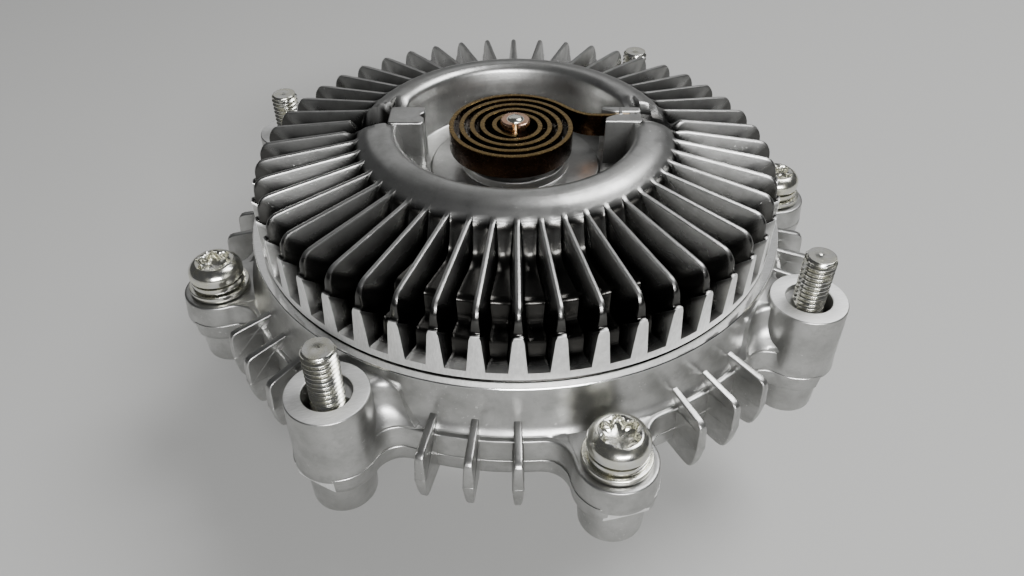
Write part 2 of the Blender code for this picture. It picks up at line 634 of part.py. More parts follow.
# ---- valve --------------------------------------------------------------------------------
def build_valve(steel, bronze, pivot):
    s = SHOULDER_Z
    arm_z = PLATE_Z + PLATE_THICKNESS + 0.5 * MM
    ceiling = s + RECESS_FLOOR - 3.5 * MM
    neck = 2.0 * MM
    top = s + RING_HEIGHT
    bm = bmesh.new()
    add_turned(bm, [(0, arm_z - 0.2 * MM), (neck, arm_z - 0.2 * MM),
                    (neck, arm_z + ARM_THICKNESS + GAP),
                    (VALVE_SHAFT, arm_z + ARM_THICKNESS + GAP), (VALVE_SHAFT, ceiling - 1.6 * MM),
                    (neck, ceiling - 1.6 * MM), (neck, ceiling - 0.3 * MM),
                    (VALVE_SHAFT, ceiling - 0.3 * MM), (VALVE_SHAFT, top - 0.8 * MM),
                    (2.5 * MM, top - 0.3 * MM), (1.7 * MM, top - 0.2 * MM),
                    (1.2 * MM, top + 0.4 * MM), (0, top + 0.6 * MM)], 20)
    shaft = make_object("valve_shaft", bm, steel, parent=pivot)
    slot = bmesh.new()
    half = STRIP_THICKNESS / 2 + GAP
    add_box(slot, -half, half, -5 * MM, half, SPIRAL_TOP - STRIP_WIDTH - GAP, top + 2 * MM,
            EAR_ANGLE)
    combine(shaft, "DIFFERENCE", slot, "slot")

    clip = bmesh.new()
    add_arc_ring(clip, neck + GAP, 4.9 * MM, ceiling - 1.3 * MM, ceiling - 0.6 * MM,
                 math.radians(30), math.radians(330), COARSE)
    make_object("valve_shaft_clip", clip, steel, parent=pivot)

    bush = bmesh.new()
    add_turned(bush, [(VALVE_SHAFT + GAP, ceiling + 0.2 * MM), (VALVE_BORE - GAP, ceiling + 0.2 * MM),
                      (VALVE_BORE - GAP, s + RECESS_FLOOR + 2.4 * MM),
                      (VALVE_SHAFT + GAP, s + RECESS_FLOOR + 2.4 * MM)], 20)
    make_object("valve_bush", bush, bronze)

    reach = CAVITY_RADIUS * 0.6
    outline = []
    for radius, centre, first, last in ((7.0 * MM, 0.0, 60, 300), (3.6 * MM, reach, -80, 80)):
        for k in range(9):
            turn = math.radians(first + (last - first) * k / 8)
            outline.append((centre + radius * math.cos(turn), radius * math.sin(turn)))
    bm = bmesh.new()
    add_loft(bm, outline, arm_z, outline, arm_z + ARM_THICKNESS)
    arm = make_object("valve_arm", bm, steel, parent=pivot)
    hole = bmesh.new()
    add_turned(hole, [(0, arm_z - MM), (neck + GAP, arm_z - MM),
                      (neck + GAP, arm_z + 2 * ARM_THICKNESS), (0, arm_z + 2 * ARM_THICKNESS)], 20)
    combine(arm, "DIFFERENCE", hole, "hole")


def build_plate(steel):
    bm = bmesh.new()
    add_turned(bm, [(0, PLATE_Z), (CAVITY_RADIUS - GAP, PLATE_Z),
                    (CAVITY_RADIUS - GAP, PLATE_Z + PLATE_THICKNESS),
                    (0, PLATE_Z + PLATE_THICKNESS)], FIN_COUNT, start=math.pi / FIN_COUNT)
    plate = make_object("partition_plate", bm, steel)
    ports = bmesh.new()
    for radius, circle, angle in ((2.2, 0.6, 0.35), (2.2, 0.6, 0.35 + math.pi),
                                  (1.2, 0.93, 2.0), (1.2, 0.93, 2.0 + math.pi)):
        add_turned(ports, [(0, PLATE_Z - MM), (radius * MM, PLATE_Z - MM),
                           (radius * MM, PLATE_Z + 3 * MM), (0, PLATE_Z + 3 * MM)], 12,
                   centre=polar(circle * CAVITY_RADIUS, angle))
    combine(plate, "DIFFERENCE", ports, "ports")


# ---- spiral -------------------------------------------------------------------------------
def spiral_path():
    """Middle line of the strip: slot in the shaft, turns outwards, straight tail in the ear."""
    path = [(0.0, -0.1 * MM), (0.0, -VALVE_SHAFT - 0.4 * MM)]
    first, last = math.radians(225), math.radians(40 - 4 * 360)
    steps = 66
    start = None
    for k in range(steps + 1):
        turn = first + (last - first) * k / steps
        swept = first - turn
        radius = SPIRAL_START + SPIRAL_PITCH * swept / (2 * math.pi)
        shift = SPIRAL_SHIFT * min(1.0, swept / (2 * math.pi))
        x, y = polar(radius, turn)
        point = (x + shift, y)
        if start is None:
            start = point
            path += bend(path[-1], (0.0, start[1] - 2.4 * MM), start, 4)
        path.append(point)
    fall = math.tan(math.radians(50))
    corner = (path[-1][0] + (path[-1][1] - SLOT_OFFSET) / fall, SLOT_OFFSET)
    arrive = (corner[0] + 3.0 * MM, SLOT_OFFSET)
    path += bend(path[-1], corner, arrive, 4)
    path += [arrive, (EAR_REACH + 6.2 * MM, SLOT_OFFSET)]
    return path


def bend(first, corner, last, steps):
    """Points inside a quadratic curve, without its two ends."""
    points = []
    for k in range(1, steps):
        t = k / steps
        points.append(tuple((1 - t)**2 * a + 2 * t * (1 - t) * b + t * t * c
                            for a, b, c in zip(first, corner, last)))
    return points


def build_spiral(bronze):
    path = [rotated(p, EAR_ANGLE) for p in spiral_path()]
    left, right = [], []
    for k, (x, y) in enumerate(path):
        before, after = path[max(k - 1, 0)], path[min(k + 1, len(path) - 1)]
        dx, dy = after[0] - before[0], after[1] - before[1]
        length = math.hypot(dx, dy)
        nx, ny = -dy / length * STRIP_THICKNESS / 2, dx / length * STRIP_THICKNESS / 2
        left.append((x + nx, y + ny))
        right.append((x - nx, y - ny))
    bm = bmesh.new()
    corners = []
    for z in (SPIRAL_TOP - STRIP_WIDTH, SPIRAL_TOP):
        corners.append([bm.verts.new((x, y, z)) for x, y in left])
        corners.append([bm.verts.new((x, y, z)) for x, y in right])
    left_low, right_low, left_high, right_high = corners
    for a, b in ((left_low, right_low), (left_high, right_high), (left_low, left_high),
                 (right_low, right_high)):
        for k in range(len(path) - 1):
            bm.faces.new((a[k], a[k + 1], b[k + 1], b[k]))
    for k in (0, -1):
        bm.faces.new((left_low[k], right_low[k], right_high[k], left_high[k]))
    make_object("bimetal_coil", bm, bronze)


# ---- fasteners ----------------------------------------------------------------------------
def add_arc_ring(bm, inner, outer, z0, z1, first, last, steps):
    rings = []
    for k in range(steps + 1):
        turn = first + (last - first) * k / steps
        rings.append([bm.verts.new((*polar(radius, turn), z))
                      for radius, z in ((inner, z0), (outer, z0), (outer, z1), (inner, z1))])
    bm.faces.new(rings[0])
    bm.faces.new(rings[-1])
    for a, b in zip(rings, rings[1:]):
        for k in range(4):
            n = (k + 1) % 4
            bm.faces.new((a[k], a[n], b[n], b[k]))


def build_row(name, bm, finish, circle, places, z):
    """The same piece at every place of a bolt circle, turned to face outwards."""
    pattern = None
    for k, angle in enumerate(places, start=1):
        x, y = polar(circle, angle)
        if pattern is None:
            made = pattern = make_object(f"{name}_{k}", bm, finish, (x, y, z))
        else:
            made = bpy.data.objects.new(f"{name}_{k}", pattern.data)
            bpy.context.scene.collection.objects.link(made)
            made.location = (x, y, z)
        made.rotation_euler = (0, 0, angle)


def build_fasteners(zinc):
    seat = PARTING_Z + COVER_FLANGE + GAP
    bm = bmesh.new()
    add_turned(bm, [(SCREW_HOLE, 0), (6.1 * MM, 0), (6.1 * MM, FLAT_WASHER),
                    (SCREW_HOLE, FLAT_WASHER)], COARSE)
    build_row("flat_washer", bm, zinc, SCREW_CIRCLE, SCREW_ANGLES, seat)
    bm = bmesh.new()
    add_arc_ring(bm, SCREW_HOLE, 5.2 * MM, 0, SPRING_WASHER, math.radians(8), math.radians(352), COARSE)
    build_row("spring_washer", bm, zinc, SCREW_CIRCLE, SCREW_ANGLES, seat + FLAT_WASHER + GAP)
    head = seat + FLAT_WASHER + SPRING_WASHER + 2 * GAP
    length = head - (PARTING_Z - 7.4 * MM)
    bm = bmesh.new()
    add_turned(bm, [(0, -length), (SCREW_RADIUS - 0.6 * MM, -length),
                    (SCREW_RADIUS, -length + 0.8 * MM), (SCREW_RADIUS, 0), (HEAD_RADIUS, 0),
                    (HEAD_RADIUS, HEAD_HEIGHT * 0.45), (HEAD_RADIUS * 0.86, HEAD_HEIGHT * 0.84),
                    (HEAD_RADIUS * 0.66, HEAD_HEIGHT), (2.3 * MM, HEAD_HEIGHT, 0.45 * MM),
                    (2.3 * MM, HEAD_HEIGHT - 2.3 * MM, 0.45 * MM),
                    (0, HEAD_HEIGHT - 2.6 * MM)], 18)
    build_row("cover_screw", bm, zinc, SCREW_CIRCLE, SCREW_ANGLES, head)
    bottom = PARTING_Z - 7.6 * MM
    length = SHOULDER_Z + STUD_REACH - bottom
    collar = PARTING_Z + 1.2 * MM - bottom
    bm = bmesh.new()
    add_turned(bm, [(0, 0), (STUD_RADIUS - 0.5 * MM, 0), (STUD_RADIUS, 0.6 * MM),
                    (STUD_RADIUS, collar), (STUD_HOLE - GAP, collar),
                    (STUD_HOLE - GAP, collar + 4.0 * MM), (STUD_RADIUS, collar + 4.6 * MM),
                    (STUD_RADIUS, length - 0.8 * MM), (STUD_RADIUS - 0.6 * MM, length),
                    (0, length)], COARSE)
    build_row("fan_stud", bm, zinc, STUD_CIRCLE, STUD_ANGLES, bottom)


def main():
    clear_scene()
    aluminium = material("cast_aluminium", (0.62, 0.62, 0.60), 0.34, 1.0)
    turned = material("turned_aluminium", (0.66, 0.66, 0.65), 0.28, 1.0)
    steel = material("ground_steel", (0.55, 0.55, 0.54), 0.25, 1.0)
    zinc = material("bright_zinc", (0.72, 0.71, 0.66), 0.2, 1.0)
    bronze = material("bimetal_bronze", (0.36, 0.25, 0.12), 0.32, 1.0)
    brass = material("cage_brass", (0.65, 0.50, 0.25), 0.35, 1.0)
    rubber = material("black_rubber", (0.03, 0.03, 0.03), 0.6, 0.0)

    shaft = build_shaft(steel)
    build_rotor(turned, shaft)
    cage_pivot = bpy.data.objects.new("cage_pivot", None)
    valve_pivot = bpy.data.objects.new("valve_pivot", None)
    for pivot, z in ((cage_pivot, BEARING_Z + BEARING_WIDTH / 2), (valve_pivot, 0.0)):
        bpy.context.scene.collection.objects.link(pivot)
        pivot.location = (0, 0, z)
    build_bearing(steel, brass, rubber, shaft, cage_pivot)
    build_cover(aluminium)
    build_rear(aluminium)
    build_seal(rubber)
    build_plate(steel)
    build_valve(steel, bronze, valve_pivot)
    build_spiral(bronze)
    build_fasteners(zinc)


main()
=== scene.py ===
# %% [markdown]
# # A viscous fan clutch
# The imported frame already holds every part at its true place: a finned aluminium cover and a
# rear housing that turn on a flanged shaft, with a bimetal spiral in the middle. This lesson
# dresses that frame. Each step says what the real piece is, makes it as a surface worked out
# with numpy, and gives it a finish made of shader nodes.

# %% Open the frame
import math

import bmesh
import bpy
import numpy as np
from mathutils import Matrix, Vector


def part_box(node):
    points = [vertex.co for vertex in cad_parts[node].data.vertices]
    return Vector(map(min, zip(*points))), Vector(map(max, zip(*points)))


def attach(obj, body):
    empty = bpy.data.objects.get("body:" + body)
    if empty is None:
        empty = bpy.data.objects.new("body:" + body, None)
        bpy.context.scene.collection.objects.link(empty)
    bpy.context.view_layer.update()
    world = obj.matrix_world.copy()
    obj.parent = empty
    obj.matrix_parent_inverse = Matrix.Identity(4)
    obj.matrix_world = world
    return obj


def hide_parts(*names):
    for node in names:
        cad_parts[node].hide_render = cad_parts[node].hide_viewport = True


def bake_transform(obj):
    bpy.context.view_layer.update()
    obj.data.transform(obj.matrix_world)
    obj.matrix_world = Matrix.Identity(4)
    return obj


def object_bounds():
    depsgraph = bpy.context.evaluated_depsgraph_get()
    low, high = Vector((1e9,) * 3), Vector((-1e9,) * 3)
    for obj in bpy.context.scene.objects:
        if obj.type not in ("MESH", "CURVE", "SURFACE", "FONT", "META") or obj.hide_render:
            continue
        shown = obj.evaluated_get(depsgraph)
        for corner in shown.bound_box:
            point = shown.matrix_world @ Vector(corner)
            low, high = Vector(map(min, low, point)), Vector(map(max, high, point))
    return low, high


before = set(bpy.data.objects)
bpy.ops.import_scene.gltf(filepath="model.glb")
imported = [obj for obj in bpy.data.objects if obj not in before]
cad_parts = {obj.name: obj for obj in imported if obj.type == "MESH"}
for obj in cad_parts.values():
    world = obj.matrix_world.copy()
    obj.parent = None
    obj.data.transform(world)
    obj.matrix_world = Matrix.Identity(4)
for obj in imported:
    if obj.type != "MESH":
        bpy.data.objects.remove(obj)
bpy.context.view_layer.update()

# %% [markdown]
# ## The heights that everything else hangs from
# The stack hangs from the two castings' parting faces and the tops of the studs, which are
# read from the frame, in millimetres. The turned shoulder that the fan drops over lies 9.5
# below the studs' tops and 10 above the flange. The castings are eased towards each other by
# 0.06 each, so that their joint looks like a hairline.

# %% Read the main heights and circles
MM = 0.001
FINS = 48
PITCH = 2 * math.pi / FINS


def low(node):
    return np.array(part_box(node)[0]) / MM


def high(node):
    return np.array(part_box(node)[1]) / MM


STUD_REACH = 9.5
FLANGE_DROP = 10.0
PARTING_EASE = 0.06
STUD_TOP = high("fan_stud_1")[2]
SHOULDER = STUD_TOP - STUD_REACH
COVER_BASE = low("front_cover")[2] - PARTING_EASE
REAR_FACE = high("rear_housing")[2] + PARTING_EASE
FLANGE_TOP = SHOULDER - FLANGE_DROP
SCREW_CIRCLE = (high("flat_washer_1")[0] + low("flat_washer_1")[0]) / 2
STUD_CIRCLE = math.hypot(*((high("fan_stud_1") + low("fan_stud_1")) / 2)[:2])
EAR_TURN = math.radians(-15.3)
print(f"shoulder {SHOULDER:.1f}, cover base {COVER_BASE:.2f}, rear face {REAR_FACE:.2f} mm")
print(f"screws on a {2 * SCREW_CIRCLE:.1f} mm circle, studs on {2 * STUD_CIRCLE:.1f} mm")

# %% [markdown]
# ## From grids of points to a piece
# Every new piece is one or more grids: a point for each pair of parameters. A small helper
# turns grids into a single mesh, closes them where they wrap, welds the poles and turns the
# faces outwards. It also marks which faces a lathe has touched, so that one finish can show
# both the cast skin and the bright cuts.

# %% The helpers that make a piece


def lay(name, sheets, body, stands_for=(), sharp=38.0, turned=None,
        painted_shade=None, finish=None):
    """One piece from grids of points in millimetres.

    Each sheet is (points[rows, columns, 3], rows wrap, columns wrap). Neighbouring points
    become quads and equal points become one. turned(centres) marks each face 0 or 1,
    painted_shade(points) gives each point how much shade is painted on it in a gap, from 0 to 1,
    and finish is a material.
    """
    points, quads, start = [], [], 0
    for grid, wrap_rows, wrap_columns in sheets:
        rows, columns = grid.shape[:2]
        index = np.arange(rows * columns).reshape(rows, columns) + start
        if wrap_rows:
            index = np.vstack([index, index[:1]])
        if wrap_columns:
            index = np.hstack([index, index[:, :1]])
        corners = [index[:-1, :-1], index[:-1, 1:], index[1:, 1:], index[1:, :-1]]
        quads.append(np.stack(corners, axis=-1).reshape(-1, 4))
        points.append(grid.reshape(-1, 3))
        start += rows * columns
    mesh = bpy.data.meshes.new(name)
    mesh.from_pydata(np.concatenate(points) * MM, [], np.concatenate(quads))
    bm = bmesh.new()
    bm.from_mesh(mesh)
    bmesh.ops.remove_doubles(bm, verts=bm.verts, dist=2e-6)
    bmesh.ops.recalc_face_normals(bm, faces=bm.faces)
    bm.to_mesh(mesh)
    bm.free()
    mesh.shade_smooth()
    mesh.set_sharp_from_angle(angle=math.radians(sharp))
    centres = np.empty(len(mesh.polygons) * 3)
    mesh.polygons.foreach_get("center", centres)
    marks = mesh.attributes.new("turned", "FLOAT", "FACE")
    if turned is not None:
        cut = turned(centres.reshape(-1, 3) / MM).astype(np.float32)
        marks.data.foreach_set("value", cut)
    if painted_shade is not None:
        places = np.empty(len(mesh.vertices) * 3)
        mesh.vertices.foreach_get("co", places)
        depth = mesh.attributes.new("painted_shade", "FLOAT", "POINT")
        depth.data.foreach_set("value", painted_shade(places.reshape(-1, 3) / MM).astype(np.float32))
    piece = bpy.data.objects.new(name, mesh)
    bpy.context.scene.collection.objects.link(piece)
    if body:
        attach(piece, body)
    if stands_for:
        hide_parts(*stands_for)
    if finish:
        mesh.materials.append(finish)
    print(f"{name}: {len(mesh.polygons)} faces")
    return piece


def soften(corners, radii, steps=4):
    """A polyline with its corners eased: each corner c becomes the quadratic curve
    (1-t)^2 a + 2t(1-t) c + t^2 b between the points a and b at distance r on either side."""
    corners = np.asarray(corners, float)
    reach = np.broadcast_to(np.asarray(radii, float), len(corners)).copy()
    reach[[0, -1]] = 0.0
    back = np.roll(corners, 1, axis=0) - corners
    ahead = np.roll(corners, -1, axis=0) - corners
    back /= np.maximum(np.linalg.norm(back, axis=1, keepdims=True), 1e-9)
    ahead /= np.maximum(np.linalg.norm(ahead, axis=1, keepdims=True), 1e-9)
    a = (corners + back * reach[:, None])[:, None]
    b = (corners + ahead * reach[:, None])[:, None]
    t = np.linspace(0, 1, steps)[None, :, None]
    curve = (1 - t)**2 * a + 2 * t * (1 - t) * corners[:, None] + t**2 * b
    curve = curve.reshape(-1, corners.shape[1])
    keep = np.r_[True, np.linalg.norm(np.diff(curve, axis=0), axis=1) > 1e-6]
    return curve[keep]


def turned_sheet(profile, count=96, centre=(0.0, 0.0), closed=True):
    """A surface of revolution: (r, z) becomes (r cos a, r sin a, z) round the centre."""
    profile = np.asarray(profile, float)
    a = np.arange(count) * 2 * math.pi / count
    r, z = profile[:, :1], profile[:, 1:2]
    x = centre[0] + r * np.cos(a)
    y = centre[1] + r * np.sin(a)
    return np.stack([x, y, z + 0 * a], axis=-1), closed, True


def turn(points, angle):
    """Points turned about the Z axis: x' = x cos - y sin, y' = x sin + y cos."""
    c, s = math.cos(angle), math.sin(angle)
    x, y, z = points[..., 0], points[..., 1], points[..., 2]
    return np.stack([x * c - y * s, x * s + y * c, z], axis=-1)


print("helpers ready")

# %% [markdown]
# ## Stage, light and camera
# A clutch this bright is mostly a picture of its surroundings, so the light matters as much as
# the metal. A square soft box hangs above on the right, a broad dim card stands behind, and a
# narrow box is in front. The room itself is dim, which helps the gaps between the fins to
# stay dark.

# %% Stage, lights and camera


def flat_finish(name, colour, roughness):
    made = bpy.data.materials.new(name)
    made.use_nodes = True
    shader = made.node_tree.nodes["Principled BSDF"]
    shader.inputs["Base Color"].default_value = (*colour, 1)
    shader.inputs["Roughness"].default_value = roughness
    return made


def soft_box(name, place, aim, width, depth, power):
    lamp = bpy.data.lights.new(name, "AREA")
    lamp.shape = "RECTANGLE"
    lamp.size, lamp.size_y = width, depth
    lamp.energy = power
    holder = bpy.data.objects.new(name, lamp)
    bpy.context.scene.collection.objects.link(holder)
    holder.location = place
    way = Vector(aim) - Vector(place)
    holder.rotation_euler = way.to_track_quat("-Z", "Y").to_euler()


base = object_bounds()[0].z
mesh = bpy.data.meshes.new("floor")
mesh.from_pydata([(-3, -3, base), (3, -3, base), (3, 3, base), (-3, 3, base)], [], [(0, 1, 2, 3)])
floor = bpy.data.objects.new("floor", mesh)
bpy.context.scene.collection.objects.link(floor)
floor.data.materials.append(flat_finish("pale_floor", (0.50, 0.50, 0.49), 0.75))

world = bpy.data.worlds.new("dim_room")
world.use_nodes = True
world.node_tree.nodes["Background"].inputs["Color"].default_value = (0.75, 0.76, 0.77, 1)
world.node_tree.nodes["Background"].inputs["Strength"].default_value = 0.10
bpy.context.scene.world = world
soft_box("top_box", (0.55, 0.10, 0.90), (0.05, 0, 0.04), 0.50, 0.50, 8.6)
soft_box("back_card", (0.20, 1.20, 0.85), (0, 0, 0.10), 1.7, 0.8, 2.0)
soft_box("front_box", (-0.05, -0.80, 0.48), (0, 0, 0.05), 0.50, 0.10, 10.0)

lens = bpy.data.cameras.new("view")
lens.sensor_width = 36.0
lens.lens = 28.83
lens.clip_start, lens.clip_end = 0.01, 20.0
camera = bpy.data.objects.new("view", lens)
bpy.context.scene.collection.objects.link(camera)
camera.location = Vector((-39.9, -142.9, SHOULDER + 100.65)) * MM
look = Vector((0.2019, 0.7363, -0.6458))
camera.rotation_euler = look.to_track_quat("-Z", "Y").to_euler()
bpy.context.scene.camera = camera
print(f"camera {camera.location.length / MM:.0f} mm from the origin")

# %% [markdown]
# ## The cast aluminium finish
# Die-cast aluminium has a tight, slightly mottled skin: smooth in the hand, but with faint
# flow marks and fine pits. Where the lathe has cut it, it is paler and shows fine rings, and
# the fan's shoulder is polished. One material does it all. Noise in object space changes the
# colour and the roughness of the skin, and the "turned" mark on each face fades over to rings
# that follow the height. The "painted_shade" mark on each point paints shade into the gaps
# between the fins and the pockets beyond the ears, near black, more than their shade alone would.

# %% Node helpers and the aluminium


class Shop:
    """A material with its Principled shader, and short ways to add nodes to it."""

    def __init__(self, name, metallic=1.0):
        self.material = bpy.data.materials.new(name)
        self.material.use_nodes = True
        self.tree = self.material.node_tree
        self.shader = self.tree.nodes["Principled BSDF"]
        self.shader.inputs["Metallic"].default_value = metallic
        self.where = self.tree.nodes.new("ShaderNodeTexCoord").outputs["Object"]

    def wire(self, source, target):
        if isinstance(source, (int, float)):
            target.default_value = source
        elif isinstance(source, tuple):
            target.default_value = (*source, 1.0)
        else:
            self.tree.links.new(source, target)

    def noise(self, scale, detail=4.0, rough=0.55, at=None, stretch=None):
        """Fractal noise in object space; stretch squeezes it along x, y and z."""
        node = self.tree.nodes.new("ShaderNodeTexNoise")
        node.inputs["Scale"].default_value = scale
        node.inputs["Detail"].default_value = detail
        node.inputs["Roughness"].default_value = rough
        place = at or self.where
        if stretch:
            mapping = self.tree.nodes.new("ShaderNodeMapping")
            mapping.inputs["Scale"].default_value = stretch
            self.wire(place, mapping.inputs["Vector"])
            place = mapping.outputs["Vector"]
        self.wire(place, node.inputs["Vector"])
        return node.outputs["Fac"]

    def spread(self, value, low, high, to_low=0.0, to_high=1.0):
        """value mapped from low..high to to_low..to_high, clamped."""
        node = self.tree.nodes.new("ShaderNodeMapRange")
        for key, number in (("From Min", low), ("From Max", high),
                            ("To Min", to_low), ("To Max", to_high)):
            node.inputs[key].default_value = number
        self.wire(value, node.inputs["Value"])
        return node.outputs["Result"]

    def mix(self, factor, first, second, colour=True):
        node = self.tree.nodes.new("ShaderNodeMix")
        node.data_type = "RGBA" if colour else "FLOAT"
        ends = (6, 7) if colour else (2, 3)
        self.wire(factor, node.inputs[0])
        self.wire(first, node.inputs[ends[0]])
        self.wire(second, node.inputs[ends[1]])
        return node.outputs[2 if colour else 0]

    def maths(self, what, first, second=0.0):
        node = self.tree.nodes.new("ShaderNodeMath")
        node.operation = what
        self.wire(first, node.inputs[0])
        self.wire(second, node.inputs[1])
        return node.outputs[0]

    def axis(self, letter):
        node = self.tree.nodes.new("ShaderNodeSeparateXYZ")
        self.wire(self.where, node.inputs[0])
        return node.outputs[letter]

    def from_axis(self):
        """Distance from the Z axis, the root of x^2 + y^2."""
        squares = [self.maths("POWER", self.axis(letter), 2.0) for letter in "XY"]
        return self.maths("POWER", self.maths("ADD", *squares), 0.5)

    def mark(self, name):
        node = self.tree.nodes.new("ShaderNodeAttribute")
        node.attribute_name = name
        return node.outputs["Fac"]

    def bump(self, height, depth, strength=1.0):
        node = self.tree.nodes.new("ShaderNodeBump")
        node.inputs["Distance"].default_value = depth * MM
        node.inputs["Strength"].default_value = strength
        self.wire(height, node.inputs["Height"])
        self.wire(node.outputs["Normal"], self.shader.inputs["Normal"])

    def paint(self, colour, roughness):
        self.wire(colour, self.shader.inputs["Base Color"])
        self.wire(roughness, self.shader.inputs["Roughness"])
        return self.material


RING_PITCH = 0.32 * MM


def aluminium(name):
    shop = Shop(name)
    cloud = shop.noise(120.0, 5.0, 0.6)
    flow = shop.noise(420.0, 4.0, 0.6)
    pits = shop.noise(2600.0, 3.0, 0.7)
    scratch = shop.noise(700.0, 2.0, 0.6, stretch=(1.0, 9.0, 1.0))
    nick = shop.maths("MULTIPLY", shop.spread(shop.noise(1500.0, 2.0, 0.7), 0.66, 0.70),
                      shop.spread(shop.noise(110.0, 2.0), 0.50, 0.62))
    cut = shop.mark("turned")
    painted_shade = shop.mark("painted_shade")
    skin = shop.mix(shop.spread(cloud, 0.34, 0.66), (0.36, 0.36, 0.35), (0.51, 0.51, 0.50))
    skin = shop.mix(shop.spread(flow, 0.36, 0.50, 0.35, 0.0), skin, (0.30, 0.30, 0.29))
    skin = shop.mix(shop.spread(pits, 0.62, 0.72, 0.0, 0.4), skin, (0.22, 0.22, 0.21))
    skin = shop.mix(shop.maths("MULTIPLY", nick, 0.6), skin, (0.80, 0.80, 0.79))
    # Painted shade: the gaps between the fins and the pockets beyond the ears are mixed towards
    # near black.
    skin = shop.mix(painted_shade, skin, (0.035, 0.034, 0.032))
    bright = shop.mix(shop.spread(scratch, 0.4, 0.7), (0.80, 0.80, 0.79), (0.93, 0.93, 0.92))
    rough = shop.spread(cloud, 0.3, 0.7, 0.40, 0.28)
    rough = shop.mix(painted_shade, rough, 0.22, colour=False)
    height = shop.axis("Z")
    rings = shop.maths("SINE", shop.maths("MULTIPLY", height, 2 * math.pi / RING_PITCH))
    colour = shop.mix(cut, skin, bright)
    off_shoulder = shop.maths("ABSOLUTE", shop.maths("SUBTRACT", height, SHOULDER * MM))
    mirror = shop.spread(off_shoulder, RING_PITCH, RING_PITCH + 0.1 * MM, 0.15, 0.60)
    rough = shop.mix(cut, rough, mirror, colour=False)
    grain = shop.maths("ADD", shop.maths("MULTIPLY", pits, 0.8), flow)
    grain = shop.maths("ADD", grain, shop.maths("MULTIPLY", nick, -0.8))
    shop.bump(shop.mix(cut, grain, shop.maths("MULTIPLY", rings, 0.5), colour=False), 0.03, 0.6)
    return shop.paint(colour, rough)


cast_skin = aluminium("cast_aluminium_skin")
print("aluminium ready")

# %% [markdown]
# ## The finned cover
# The cover is a stepped dome with forty-eight radial fins, a fat ring and a round well. It
# could be a revolve with fins pushed through it, but the casting has a soft root where each
# fin meets the shell and a round crest. So the whole skin is one sheet: two curves are drawn
# in the radial plane, the shell S and the crest line C, and the side of a fin is the set of
# points S + h (C - S). Across one pitch the height h climbs from the gap, up the side, over
# the crest and down again.

# %% The two curves of the fins


def shell_curve():
    """Between the fins: a band, two steps and the flank of the ring, as (r, z) corners."""
    corners = [(53.8, 2.0), (49.7, 1.9), (49.2, 5.0), (45.3, 5.4), (44.8, 9.5), (43.8, 10.0),
               (36.3, 10.2), (34.5, 11.4), (33.3, 14.2), (32.5, 16.6), (31.5, 17.9)]
    return soften(corners, [0, 0.7, 0.7, 0.7, 0.6, 0.5, 1.2, 0.9, 0.8, 0.7, 0], 3)


def crest_curve():
    """The edge of a fin: the turned foot, a notch, a round shoulder and the sloping crest."""
    corners = [(53.8, 2.0), (53.8, 10.0), (53.2, 10.15), (53.0, 10.6), (53.0, 12.6),
               (51.6, 14.45), (49.6, 14.85), (32.4, 17.45), (31.5, 17.9)]
    return soften(corners, [0, 0.2, 0.15, 0.15, 1.2, 0.9, 0.9, 0.4, 0], 4)


def crest_height(r):
    return 17.6 - 0.152 * (r - 31.6)


def half_width(r, z):
    """A fin is 1.05 wide at its crest line and grows by 0.178 for each millimetre below it."""
    return 0.525 + 0.089 * (crest_height(r) - z)


def travelled(path):
    """Share of a path's length covered at each of its points, from 0 to 1."""
    step = np.r_[0.0, np.cumsum(np.linalg.norm(np.diff(path, axis=0), axis=1))]
    return step / step[-1]


def along(path, share):
    mine = travelled(path)
    return np.stack([np.interp(share, mine, path[:, k]) for k in (0, 1)], axis=1)


shell, crest = shell_curve(), crest_curve()
share = np.unique(np.round(np.r_[travelled(shell), travelled(crest)], 4))
shell, crest = along(shell, share), along(crest, share)
print(f"{len(share)} rows carry the fins")

# %% The sheet over one pitch


def fin_rows():
    """For each row, (r, z, angle) over one pitch: mid gap, root, side, crest and back.

    The root and the crest edges are quarter circles, no bigger than half the fin's height.
    """
    reach = np.linalg.norm(crest - shell, axis=1)
    foot = (crest[:, 0] > 53.75)
    edge = np.minimum(np.where(foot, 0.05, 0.48), 0.45 * reach)[:, None]
    root = np.minimum(0.7, 0.45 * reach)[:, None]
    length = np.maximum(reach, 1e-6)[:, None]
    beta = np.radians([0.0, 45.0, 90.0])
    climb = np.hstack([np.ones((len(reach), 1)), 1 - edge * (1 - np.cos(beta)) / length,
                       root * (1 - np.sin(beta)) / length, np.zeros((len(reach), 1))])
    aside = np.hstack([0 * edge, -edge * (1 - np.sin(beta)), root * (1 - np.cos(beta)), 0 * edge])
    r = shell[:, :1] + (crest - shell)[:, :1] * climb
    z = shell[:, 1:] + (crest - shell)[:, 1:] * climb
    arch = np.clip((crest[:, 1:] - 9.0) / 1.05, 0, 1) * foot[:, None]
    width = half_width(r, z) * np.sqrt(1 - 0.55 * arch**2) + aside
    angle = width / r
    angle[:, 0] = 0.0
    angle[:, -1] = PITCH / 2
    both = [np.hstack([v[:, ::-1], v[:, 1:-1]]) for v in (r, z)]
    return both[0], both[1], np.hstack([-angle[:, ::-1], angle[:, 1:-1]])


fin_r, fin_z, fin_angle = fin_rows()
print(f"{fin_r.shape[1]} columns over one pitch")

# %% [markdown]
# Past the fins the same columns run on as a plain revolve: over the ring, down the wall of
# the well, across its floor and back underneath, so that the casting is one closed skin. Two
# troughs cross the ring, one behind each ear that the spiral can hook into. They are pressed
# into the finished rows with a smooth step.

